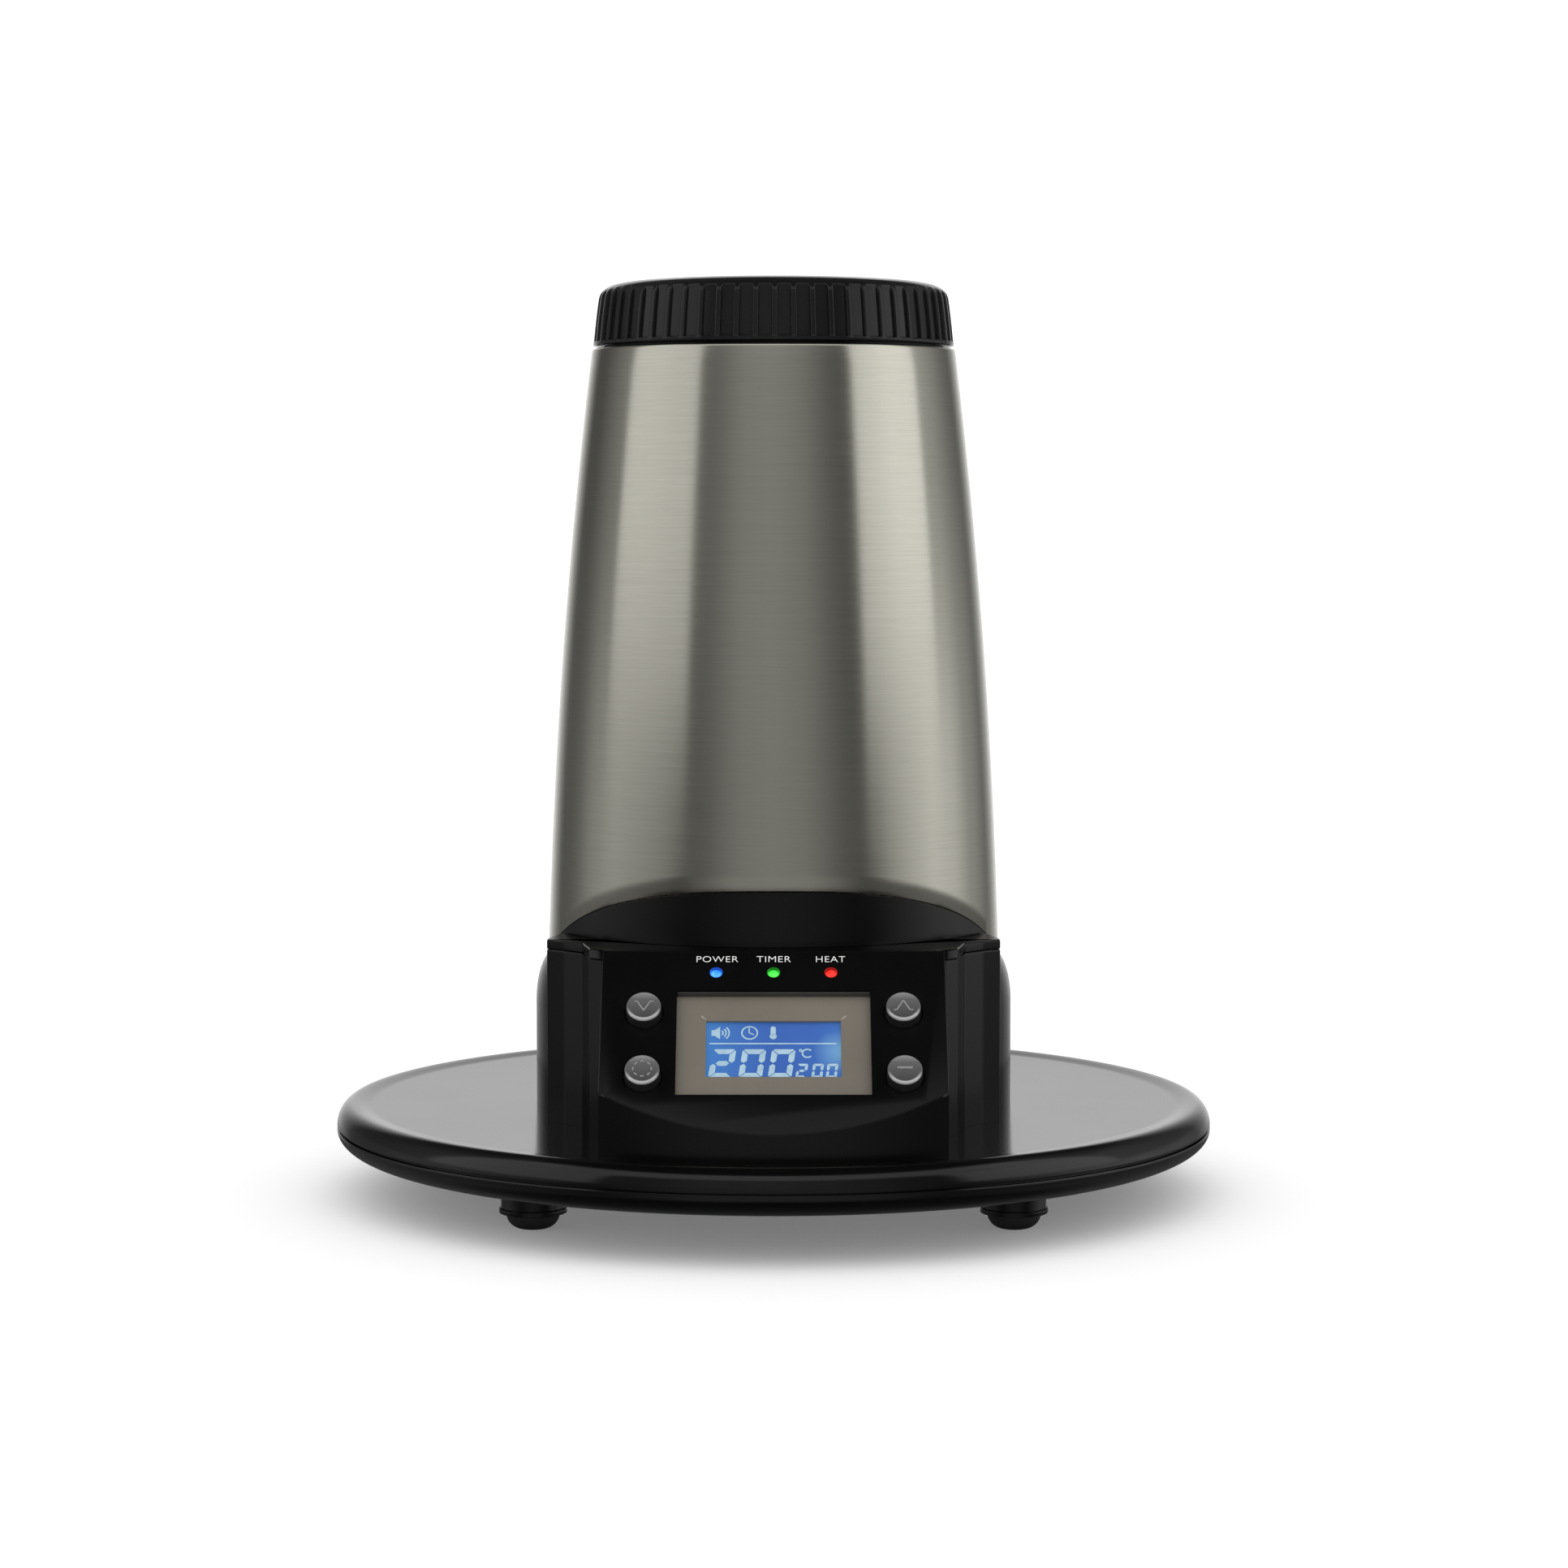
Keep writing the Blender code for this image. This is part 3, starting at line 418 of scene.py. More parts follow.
# Metals: dark and light colour, roughness, scratches a metre on each axis, anisotropy and scratch depth.
METALS = {
    "steel": ((0.50, 0.49, 0.425), (0.55, 0.54, 0.47), 0.2, (60, 60, 3600), 0.5, 0.0014),
    "spun_aluminium": ((0.55, 0.55, 0.55), (0.8, 0.8, 0.8), 0.32, (20, 20, 1500), 0.5),
    "zinc": ((0.4, 0.4, 0.38), (0.62, 0.62, 0.6), 0.35, (900, 900, 900)),
    "plate_steel": ((0.2, 0.2, 0.21), (0.32, 0.32, 0.33), 0.5, (200, 200, 200)),
    "wire": ((0.28, 0.24, 0.22), (0.45, 0.4, 0.37), 0.42, (900, 900, 900)),
}
# Lit pieces, and the white print with a painted glow: colour, colour where it is weaker, and strength.
LIT = {
    "lamp_power": ((0.10, 0.42, 1.0), (0.03, 0.22, 0.95), 0.85),
    "lamp_timer": ((0.10, 0.85, 0.09), (0.03, 0.55, 0.04), 0.8),
    "lamp_heat": ((0.95, 0.05, 0.035), (0.6, 0.01, 0.01), 0.8),
    "lamp_power_tube": ((0.003, 0.05, 0.32), (0.002, 0.03, 0.22), 0.8),
    "lamp_timer_tube": ((0.003, 0.12, 0.004), (0.002, 0.07, 0.003), 0.8),
    "lamp_heat_tube": ((0.2, 0.003, 0.003), (0.12, 0.002, 0.002), 0.8),
    "segments": ((0.25, 0.36, 0.43), (0.21, 0.31, 0.38), 0.66),
    # painted glow: the white print is no lamp, yet it is given a faint emission
    "print_white_painted_glow": ((0.75, 0.75, 0.74), (0.68, 0.68, 0.68), 0.14),
}
# The CAD material that each finish stands for
FINISHES = {}


def make_finishes():
    for name, (colour, roughness, options) in PLASTICS.items():
        FINISHES[name] = moulded(name, colour, roughness, **options)
    for name, values in METALS.items():
        FINISHES[name] = brushed(name, *values)
    for name, values in LIT.items():
        FINISHES[name] = lit(name, *values)
    for side, x in (("left", -BUTTON_X), ("right", BUTTON_X)):
        for row, s in zip(("lower", "upper"), BUTTON_S):
            FINISHES[f"key_{side}_{row}"] = key_paint_and_painted_light(f"key_{side}_{row}", x, s)
    FINISHES["display_blue"] = display_glass("display_blue")


# ---------------- mesh helpers


def closed(name, bm, matrix):
    """Turns a bmesh in millimetres into an object with a mesh in metres."""
    bmesh.ops.recalc_face_normals(bm, faces=bm.faces)
    obj = new_object(name, mesh_of(name, bm))
    obj.data.transform(Matrix.Scale(MM, 4))
    if matrix is not None:
        obj.data.transform(matrix)
    return obj


def finish_mesh(name, bm, finish, body=MAIN, nodes=(), matrix=None, sharp=SHARP):
    """Closes a bmesh in millimetres into a shown piece that rides on a body."""
    obj = closed(name, bm, matrix)
    obj.data.shade_smooth()
    obj.data.set_sharp_from_angle(angle=math.radians(sharp))
    obj.data.materials.append(FINISHES[finish])
    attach(obj, body)
    if nodes:
        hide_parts(*nodes)
    return obj


def stand_in(node, bm, finish, **options):
    """A piece that takes the place of one CAD node."""
    return finish_mesh(f"{node}_finish", bm, finish, nodes=(node,), **options)


def turned_bm(profile, sides=FINE):
    """A solid of revolution about Z from a closed outline of (radius, height)."""
    bm = bmesh.new()
    verts = [bm.verts.new((r, 0, z)) for r, z in profile]
    edges = []
    for a, b in zip(verts, verts[1:] + verts[:1]):
        if a.co.x > 0 or b.co.x > 0:
            edges.append(bm.edges.new((a, b)))
    bmesh.ops.spin(
        bm, geom=verts + edges, cent=(0, 0, 0), axis=(0, 0, 1), angle=2 * math.pi, steps=sides, use_merge=True
    )
    bmesh.ops.remove_doubles(bm, verts=bm.verts, dist=1e-4)
    return bm


def add_loft(bm, loops, ring=False):
    rows = [[bm.verts.new(p) for p in loop] for loop in loops]
    pairs = list(zip(rows, rows[1:]))
    if ring:
        pairs.append((rows[-1], rows[0]))
    for low, high in pairs:
        for i, a in enumerate(low):
            j = (i + 1) % len(low)
            bm.faces.new((a, low[j], high[j], high[i]))
    if not ring:
        bm.faces.new(reversed(rows[0]))
        bm.faces.new(rows[-1])


def loft_bm(loops, ring=False):
    bm = bmesh.new()
    add_loft(bm, loops, ring)
    return bm


def plates_bm(outlines, low, high):
    """Separate flat plates from outlines of (x, y)."""
    bm = bmesh.new()
    for outline in outlines:
        add_loft(bm, [[(x, y, z) for x, y in outline] for z in (low, high)])
    return bm


def corner_arc(before, corner, after, radius, share, steps):
    """Points of a rounded corner that takes at most a share of either edge beside it."""
    here = Vector(corner)
    back, on = Vector(before) - here, Vector(after) - here
    reach = min(radius / math.tan(back.angle(on) / 2), share * back.length, share * on.length)
    start, end = here + back.normalized() * reach, here + on.normalized() * reach
    turns = [k / steps for k in range(steps + 1)]
    return [tuple(start * (1 - t) ** 2 + here * 2 * t * (1 - t) + end * t**2) for t in turns]


def rounded(profile, radius, steps=4):
    """A closed outline with each corner rounded, as far as its edges allow."""
    result = []
    for before, corner, after in zip(profile[-1:] + profile[:-1], profile, profile[1:] + profile[:1]):
        turn = (Vector(before) - Vector(corner)).angle(Vector(after) - Vector(corner))
        if corner[0] == 0 or turn > math.radians(172):
            result.append(tuple(corner))
        else:
            result += corner_arc(before, corner, after, radius, 0.45, steps)
    return result


def ellipse_quarter(centre_r, centre_z, reach, rise, steps, start=0.0):
    turns = spaced(start, math.pi / 2, steps + 1)
    return [(centre_r + reach * math.cos(t), centre_z + rise * math.sin(t)) for t in turns]


def inset(outline, distance):
    moved = []
    for i, (x, y) in enumerate(outline):
        here = Vector((x, y))
        a = (here - Vector(outline[i - 1])).normalized()
        b = (Vector(outline[(i + 1) % len(outline)]) - here).normalized()
        normal_a = Vector((-a.y, a.x))
        mitre = (normal_a + Vector((-b.y, b.x))).normalized()
        moved.append(tuple(here + mitre * (distance / mitre.dot(normal_a))))
    return moved


def spaced(first, last, count):
    return [first + (last - first) * i / (count - 1) for i in range(count)]


def front_point(radius, degrees, z):
    turn = math.radians(degrees)
    return (radius * math.sin(turn), -radius * math.cos(turn), z)


def circle_outline(x, y, radius, sides):
    turns = [2 * math.pi * i / sides for i in range(sides)]
    return [(x + radius * math.cos(t), y + radius * math.sin(t)) for t in turns]


def ring_outline(x, y, outer, inner, start, end, steps):
    """An arc-shaped plate between two angles, in degrees."""
    turns = [math.radians(t) for t in spaced(start, end, steps)]
    far = [(x + outer * math.cos(t), y + outer * math.sin(t)) for t in turns]
    return far + [(x + inner * math.cos(t), y + inner * math.sin(t)) for t in reversed(turns)]


def box_outline(x0, y0, x1, y1):
    return [(x0, y0), (x1, y0), (x1, y1), (x0, y1)]


def bevelled(obj, width_mm, segments=3):
    modifier = obj.modifiers.new("edge_radius", "BEVEL")
    modifier.width = width_mm * MM
    modifier.segments = segments
    modifier.limit_method = "ANGLE"
    modifier.angle_limit = math.radians(28)
    modifier.harden_normals = True
    return obj


def evened(obj):
    """Lets the large faces rule the shading, so that a narrow edge radius reads as a line of light."""
    modifier = obj.modifiers.new("even_shading", "WEIGHTED_NORMAL")
    modifier.mode = "FACE_AREA"
    modifier.weight = 80
    modifier.keep_sharp = True
    return obj


def cut_with(obj, bm, name, matrix=None):
    """Cuts a guide shape out of a piece and leaves no guide behind."""
    guide = closed(name, bm, matrix)
    modifier = obj.modifiers.new(name, "BOOLEAN")
    modifier.object = guide
    modifier.solver = "EXACT"
    bpy.context.view_layer.update()
    evaluated = obj.evaluated_get(bpy.context.evaluated_depsgraph_get())
    cut = bpy.data.meshes.new_from_object(evaluated)
    obj.modifiers.remove(modifier)
    old = obj.data
    obj.data = cut
    bpy.data.meshes.remove(old)
    bpy.data.objects.remove(guide)
    obj.data.set_sharp_from_angle(angle=math.radians(SHARP))
    return obj


def refined_copy(node, finish, width_mm):
    """A welded copy of a CAD node with its edges rounded, which stands for it."""
    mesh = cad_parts[node].data.copy()
    bm = bmesh.new()
    bm.from_mesh(mesh)
    bmesh.ops.remove_doubles(bm, verts=bm.verts, dist=1e-6)
    bmesh.ops.dissolve_limit(bm, angle_limit=math.radians(1.0), verts=bm.verts, edges=bm.edges)
    bmesh.ops.scale(bm, vec=(1 / MM,) * 3, verts=bm.verts)
    return bevelled(stand_in(node, bm, finish), width_mm, 2)


# ---------------- base, feet and tower


BASE_FLAT_Z = 26.5
BASE_SEAM_Z = 20.5  # middle of the groove, between the two shells' lips
BASE_GROOVE = 0.3
BASE_NOSE = 5  # width of the upper shell's rounded edge
BASE_DISH = 6  # width of the slope from the crest down to the flat
BASE_BELLY = 12.5  # width of the lower shell's rounded side
BASE_WALL = 2.2
BASE_HOLE_R = 39.0
BASE_RIM = 1.0  # wall at the edge
INTAKE_SLOTS = 12
SEAT = 0.02  # what a piece standing on the base stays clear of it


def make_base():
    top_high = box_mm("base_top_shell")[1]
    bottom_z = box_mm("base_bottom_shell")[0].z
    radius, crest_z = top_high.x, top_high.z
    flat_z, seam_z, groove = BASE_FLAT_Z, BASE_SEAM_Z, BASE_GROOVE
    crest_r = radius - BASE_NOSE
    rise = crest_z - seam_z
    nose = ellipse_quarter(crest_r, seam_z, radius - crest_r, rise, 30, math.asin((groove + 0.5) / rise))
    ceiling = flat_z - BASE_WALL
    rim = radius - BASE_RIM
    dish = []
    for t in (i / 8 for i in range(1, 9)):
        fall = (crest_z - flat_z) * (0.5 - 0.5 * math.cos(math.pi * t))
        dish.append((crest_r - BASE_DISH * t, crest_z - fall))
    lip = [
        (radius - 0.3, seam_z + groove), (radius - 0.07, seam_z + groove + 0.08),
        (radius - 0.01, seam_z + groove + 0.25),
    ]
    profile = lip + nose + dish + [
        (BASE_HOLE_R, flat_z), (BASE_HOLE_R, ceiling), (radius - 12, ceiling), (radius - 5, ceiling - 1.2),
        (rim, seam_z + 1.6), (rim, seam_z + groove),
    ]
    finish_mesh("base_top_finish", turned_bm(profile), "base_plastic", nodes=("base_top_shell",))

    low_lip = seam_z - groove
    edge = [(radius - 0.45, low_lip), (radius - 0.12, low_lip - 0.1), (radius, low_lip - 0.45)]
    side_z = low_lip - 0.5
    belly = edge + ellipse_quarter(radius - BASE_BELLY, side_z, BASE_BELLY, bottom_z - side_z, 22)[1:]
    tongue = rim - 0.3
    profile = [(0, bottom_z), (0, bottom_z + BASE_WALL), (radius - 13.5, bottom_z + BASE_WALL)] + [
        (tongue - 2, low_lip - 1.5), (tongue - 2, seam_z + 1.0), (tongue, seam_z + 1.0), (tongue, low_lip),
    ] + belly
    lower = finish_mesh("base_bottom_finish", turned_bm(profile), "base_plastic",
                        nodes=("base_bottom_shell",))
    slots = []
    pitch = 360 // INTAKE_SLOTS
    for i in range(INTAKE_SLOTS):
        turn = Matrix.Rotation(math.radians(pitch * i + pitch // 2), 2)
        slots.append([tuple(turn @ Vector(p)) for p in rounded(box_outline(22, -2, 46, 2), 1.9)])
    cut_with(lower, plates_bm(slots, 10, 17), "intake_guide")


def make_feet():
    for row in ("front", "rear"):
        for side in ("left", "right"):
            low, high = box_mm(f"foot_pad_{row}_{side}")
            x, y = (low.x + high.x) / 2, (low.y + high.y) / 2
            at = Matrix.Translation(Vector((x, y, 0)) * MM)
            pad_r = (high.x - low.x) / 2
            dome = ellipse_quarter(3.0, 4.4, pad_r - 3.0, -4.4, 10)
            profile = [(0, high.z), (pad_r, high.z)] + dome + [(0, 0)]
            stand_in(f"foot_pad_{row}_{side}", turned_bm(profile, 64), "rubber", matrix=at)
            profile = [(2.3, 12.4), (9.1, 12.4), (9.1, 6.0), (9.6, 6.0), (9.6, 4.5), (7.9, 4.5), (7.9, 7.0),
                       (4.1, 7.0), (4.1, 9.9), (2.3, 9.9)]
            socket = turned_bm(rounded(profile, 0.3, 3), 64)
            stand_in(f"foot_socket_{row}_{side}", socket, "tower_plastic", matrix=at)


STEEL_ARC = ((67.0, 70.0), (62.4, 161.0), (54.0, 246.0))  # three points of the tower's side: radius, height
STEEL_WALL = 0.8
STEEL_ROLL = ((0.9, 0.0), (0.55, 0.06), (0.28, 0.2), (0.1, 0.42), (0.0, 0.75))  # the top edge: (drop, inward)
COLLAR_WALL = 1.5
COLLAR_STANDS = 0.15  # how far the collar stands proud of the steel's line
RING_BORE_R = 67.6
RING_SHOULDER = (5.6, 14.5)  # width and height of the ring's rounded top
RING_SHOULDER_Z = 57.0


def circle_through(a, b, c):
    (ax, ay), (bx, by), (cx, cy) = a, b, c
    d = 2 * (ax * (by - cy) + bx * (cy - ay) + cx * (ay - by))
    sa, sb, sc = ax * ax + ay * ay, bx * bx + by * by, cx * cx + cy * cy
    ux = (sa * (by - cy) + sb * (cy - ay) + sc * (ay - by)) / d
    uy = (sa * (cx - bx) + sb * (ax - cx) + sc * (bx - ax)) / d
    return ux, uy, math.hypot(ax - ux, ay - uy)


STEEL_CIRCLE = circle_through(*STEEL_ARC)


def steel_radius(z):
    centre_r, centre_z, radius = STEEL_CIRCLE
    return centre_r + math.sqrt(radius**2 - (z - centre_z) ** 2)


COLLAR_HALF = 68.3  # degrees from the front
ARCH_TOP = box_mm("front_collar")[1].z
ARCH_DROP = 16.5


def arch_height(degrees):
    return ARCH_TOP - ARCH_DROP * min(abs(degrees) / (COLLAR_HALF + 0.3), 1.0) ** 2.4


def tower_wall(degrees, low_z, high_z, offset, wall, rows, closed, edge, roll=()):
    """A wall that follows the tower's side, its edges eased and its top rolled in by (drop, inward) steps."""
    loops = []
    for angle in degrees:
        low, high = low_z(angle), high_z(angle)
        reach = roll[0][0] if roll else edge
        steps = [(low, edge), (low + edge, 0.0)]
        steps += [(z, 0.0) for z in spaced(low, high - reach, rows)[1:]]
        steps += [(high - drop, inward) for drop, inward in (roll[1:] or ((0.0, edge),))]
        outer, inner = [], []
        for i, (z, inward) in enumerate(steps):
            skin = steel_radius(z) + offset
            back = edge if i in (0, len(steps) - 1) else 0.0
            outer.append(front_point(skin - inward, angle, z))
            inner.append(front_point(skin - wall + min(back, 0.3 * wall), angle, z))
        if roll:
            inner = inner[:-len(roll) + 1]
            inner.append(front_point(steel_radius(high) + offset - wall - 0.3, angle, high - roll[0][0]))
        loops.append(outer + inner[::-1])
    return loft_bm(loops, ring=closed)


def make_tower():
    high = box_mm("tower_ring")[1]
    ring_r, bore = high.x, RING_BORE_R
    wide, tall = RING_SHOULDER
    quarter = ellipse_quarter(ring_r - wide, RING_SHOULDER_Z, wide, tall, 40)
    shoulder = [p for p in quarter if p[0] > bore + 0.1]
    profile = [(68.0, BASE_FLAT_Z + SEAT), (ring_r, BASE_FLAT_Z + SEAT)] + shoulder + [
        (bore, high.z), (bore, 64.2), (65.4, 64.2), (65.4, 61.5), (68.0, 59.5),
    ]
    ring = stand_in("tower_ring", turned_bm(profile), "tower_plastic")
    cut_with(ring, plates_bm([box_outline(-8, -75, 8, -60)], 32, 44), "cable_way_guide")
    cut_with(ring, plates_bm([box_outline(-11.4, 60, 11.4, 75)], 33.6, 46.4), "inlet_way_guide")

    steel_low, steel_high = box_mm("steel_shell")
    side = COLLAR_HALF + 0.6
    around = spaced(-side, side, 97) + spaced(side + 0.3, 360 - side - 0.3, 150)

    def bottom(angle):
        return arch_height(angle) + 0.12 if angle <= side else steel_low.z

    wall = tower_wall(
        around, bottom, lambda _: steel_high.z - 0.3, 0.0, STEEL_WALL, 30, True, 0.18, STEEL_ROLL
    )
    stand_in("steel_shell", wall, "steel", sharp=50)
    arc = spaced(-COLLAR_HALF, COLLAR_HALF, 97)
    collar = tower_wall(arc, lambda _: steel_low.z, arch_height, COLLAR_STANDS, COLLAR_WALL, 8, False, 0.25)
    stand_in("front_collar", collar, "tower_plastic", sharp=40)


# ---------------- lid, neck and pot

RIBS = 60
RIB_DEPTH = 0.95
RIB_TURN = 0.35  # degrees that the rib nearest the front stands to the right
# Half of one rib and its flute in plan: (share of the half pitch, share of the depth)
RIB_EDGE = (
    (0.0, 0.0), (0.16, 0.0), (0.21, 0.03), (0.26, 0.13), (0.3, 0.32), (0.325, 0.6), (0.34, 0.9), (0.35, 1.0),
    (0.65, 1.0),
)
LID_DROP = 0.5  # the skirt reaches a little lower than the CAD ring's flat edge
LID_CEILING_Z = 267.3
# Outline of the lid as (radius, height, share of the flutes' depth): rim above the skirt's edge, then dome
LID_RIM = (
    (52.9, 0, 0), (53.15, 0.12, 0), (53.25, 0.4, 0), (53.2, 1.1, 0), (53.1, 1.3, 0.25), (53.08, 1.4, 1.0),
)
LID_SIDE_STEPS = (0.08, 0.3, 0.55, 0.8, 1.0)
LID_DOME = [
    (51.42, 265.0, 0.9), (51.2, 265.5, 0.7), (50.95, 265.9, 0.42), (50.65, 266.3, 0.15), (50.3, 266.7, 0),
    (49.7, 267.2, 0), (48.9, 267.7, 0), (47.8, 268.15, 0), (46.2, 268.55, 0), (44.0, 268.9, 0),
    (41.0, 269.15, 0), (36.0, 269.35, 0), (28.0, 269.6, 0), (18.0, 269.82, 0), (8.0, 269.96, 0),
]
VENT_RING_R = 12
VENT_R = 1.5


def lid_columns():
    """Angles round the lid, each with how deep the skin lies there: 0 on a rib, 1 in a flute."""
    half = 180 / RIBS
    for i in range(RIBS):
        middle = 2 * half * i + RIB_TURN
        for share, dip in reversed(RIB_EDGE[1:]):
            yield middle - share * half, dip
        for share, dip in RIB_EDGE:
            yield middle + share * half, dip
        yield middle + half, 1.0


def make_lid():
    low, high = box_mm("lid_shell")
    skirt = low.z - LID_DROP
    rows = [(r, skirt + rise, share) for r, rise, share in LID_RIM]
    rows += [(53.05 - 1.1 * t - 0.33 * t * t, 252.1 + 12.2 * t, 1) for t in LID_SIDE_STEPS]
    rows += LID_DOME
    under = [(50.3, skirt), (50.0, skirt + 0.3), (50.0, 264.3), (49.3, 265.4), (46.5, 266.9), (30, 267.2)]
    bm = bmesh.new()
    grid = []
    peak = bm.verts.new((0, 0, high.z))
    pit = bm.verts.new((0, 0, LID_CEILING_Z))
    for angle, dip in lid_columns():
        skin = [front_point(r - RIB_DEPTH * dip * share, angle, z) for r, z, share in rows]
        back = [front_point(r, angle, z) for r, z in reversed(under)]
        grid.append([bm.verts.new(p) for p in back + skin])
    for a, b in zip(grid, grid[1:] + grid[:1]):
        bm.faces.new((pit, b[0], a[0]))
        bm.faces.new((peak, a[-1], b[-1]))
        for j in range(len(a) - 1):
            bm.faces.new((a[j], b[j], b[j + 1], a[j + 1]))
    lid = finish_mesh("lid_finish", bm, "lid_plastic", "lid_cap", ("lid_shell",), sharp=60)
    vents = [circle_outline(*front_point(VENT_RING_R, 60 * i, 0)[:2], VENT_R, 24) for i in range(6)]
    cut_with(lid, plates_bm(vents, 260, 280), "lid_vent_guide")

    liner = [(0, 252.0), (41.6, 252.0), (41.6, 262.3), (49.4, 262.3), (49.4, 264.3), (41.6, 264.3),
             (41.6, 266.9), (40.0, 266.9), (40.0, 253.6), (0, 253.6)]
    plug = stand_in("lid_liner", turned_bm(rounded(liner, 0.5, 3), 160), "lid_plastic", body="lid_plug")
    cut_with(plug, plates_bm(vents, 250, 258), "liner_vent_guide")
    gasket = [(44.5, 259.3), (49.2, 259.3), (49.2, 262.0), (44.5, 262.0)]
    stand_in("lid_gasket", turned_bm(rounded(gasket, 0.8, 5), 160), "silicone", body="lid_plug")


def make_neck_and_pot():
    neck = [(44.0, 238.5), (53.0, 238.5), (51.6, 249.6), (49.3, 249.6), (49.3, 251.2), (49.75, 251.7),
            (49.75, 252.5), (49.3, 253.0), (49.3, 255.0), (49.75, 255.5), (49.75, 256.3), (49.3, 256.8),
            (49.3, 259.0), (47.6, 259.0), (47.6, 245.2), (44.0, 245.2)]
    finish_mesh("neck_finish", turned_bm(rounded(neck, 0.25, 3), 160), "tower_plastic", nodes=("neck_ring",))
    pot = [(36, 66.0), (43.4, 66.0), (43.4, 245.5), (47.2, 245.5), (47.2, 246.7), (42.2, 246.7), (42.2, 67.2),
           (36, 67.2)]
    stand_in("drying_pot", turned_bm(rounded(pot, 0.55, 4), 160), "spun_aluminium")
    low, high = box_mm("pot_floor_grid")
    disc = [(0, low.z), (high.x, low.z), (high.x, high.z), (0, high.z)]
    grid = finish_mesh("pot_floor_finish", turned_bm(disc, 128), "spun_aluminium",
                       nodes=("pot_floor_grid",))
    places = [(r, 360 * i / count) for r, count in ((0, 1), (12, 6), (24, 12)) for i in range(count)]
    holes = [circle_outline(*front_point(r, turn, 0)[:2], 3.2, 20) for r, turn in places]
    cut_with(grid, plates_bm(holes, low.z - 2, high.z + 2), "floor_hole_guide")


# ---------------- console

PANEL_LOW, PANEL_HIGH = box_mm("console_panel")
PANEL_FOOT = Vector((0, PANEL_LOW.y, PANEL_LOW.z)) * MM
PANEL_AT = Matrix.Translation(PANEL_FOOT) @ Matrix.Rotation(math.radians(45), 4, "X")
APRON_R = -PANEL_LOW.y
CONSOLE_TOP = PANEL_HIGH.z
CONSOLE_BACK_R = 71.1
PARTING_DROP = 2.7  # from the console's top to its parting line
PANEL_HALF = 47.8
COVER_BACK_R = 67.4
COVER_BACK_HALF = 65.5  # degrees
COVER_CORNER = (62.6, -31.5)
HOUSING_EDGE = 0.45
COVER_EDGE = 0.55
CONSOLE_SIDE = (  # plan of the right side as (x, y, corner radius), from the block's front corner to the wing
    (47.7, -108.47, 0.6),
    (48.4, -72.8, 0.6),
    (51.9, -68.3, 0.7),
    (54.4, -55.0, 2.2),
    (60.0, -48.8, 6.0),
    (65.1, -45.3, 0.5),
    (65.1, -41.0, 0.8),
    (61.9, -35.0, 0.3),
)


def eased(points, steps=6):
    """An open run of (x, y, radius) with its inner corners turned into arcs."""
    result = [points[0][:2]]
    for before, here, after in zip(points, points[1:], points[2:]):
        result += corner_arc(before[:2], here[:2], after[:2], here[2], 0.48, steps)
    return result + [points[-1][:2]]


def apron_arc(count):
    half = CONSOLE_SIDE[0][0]
    return [(x, -math.sqrt(APRON_R**2 - x**2)) for x in spaced(-half, half, count)]


def mirrored(points):
    return [(-x, y) for x, y in reversed(points)]


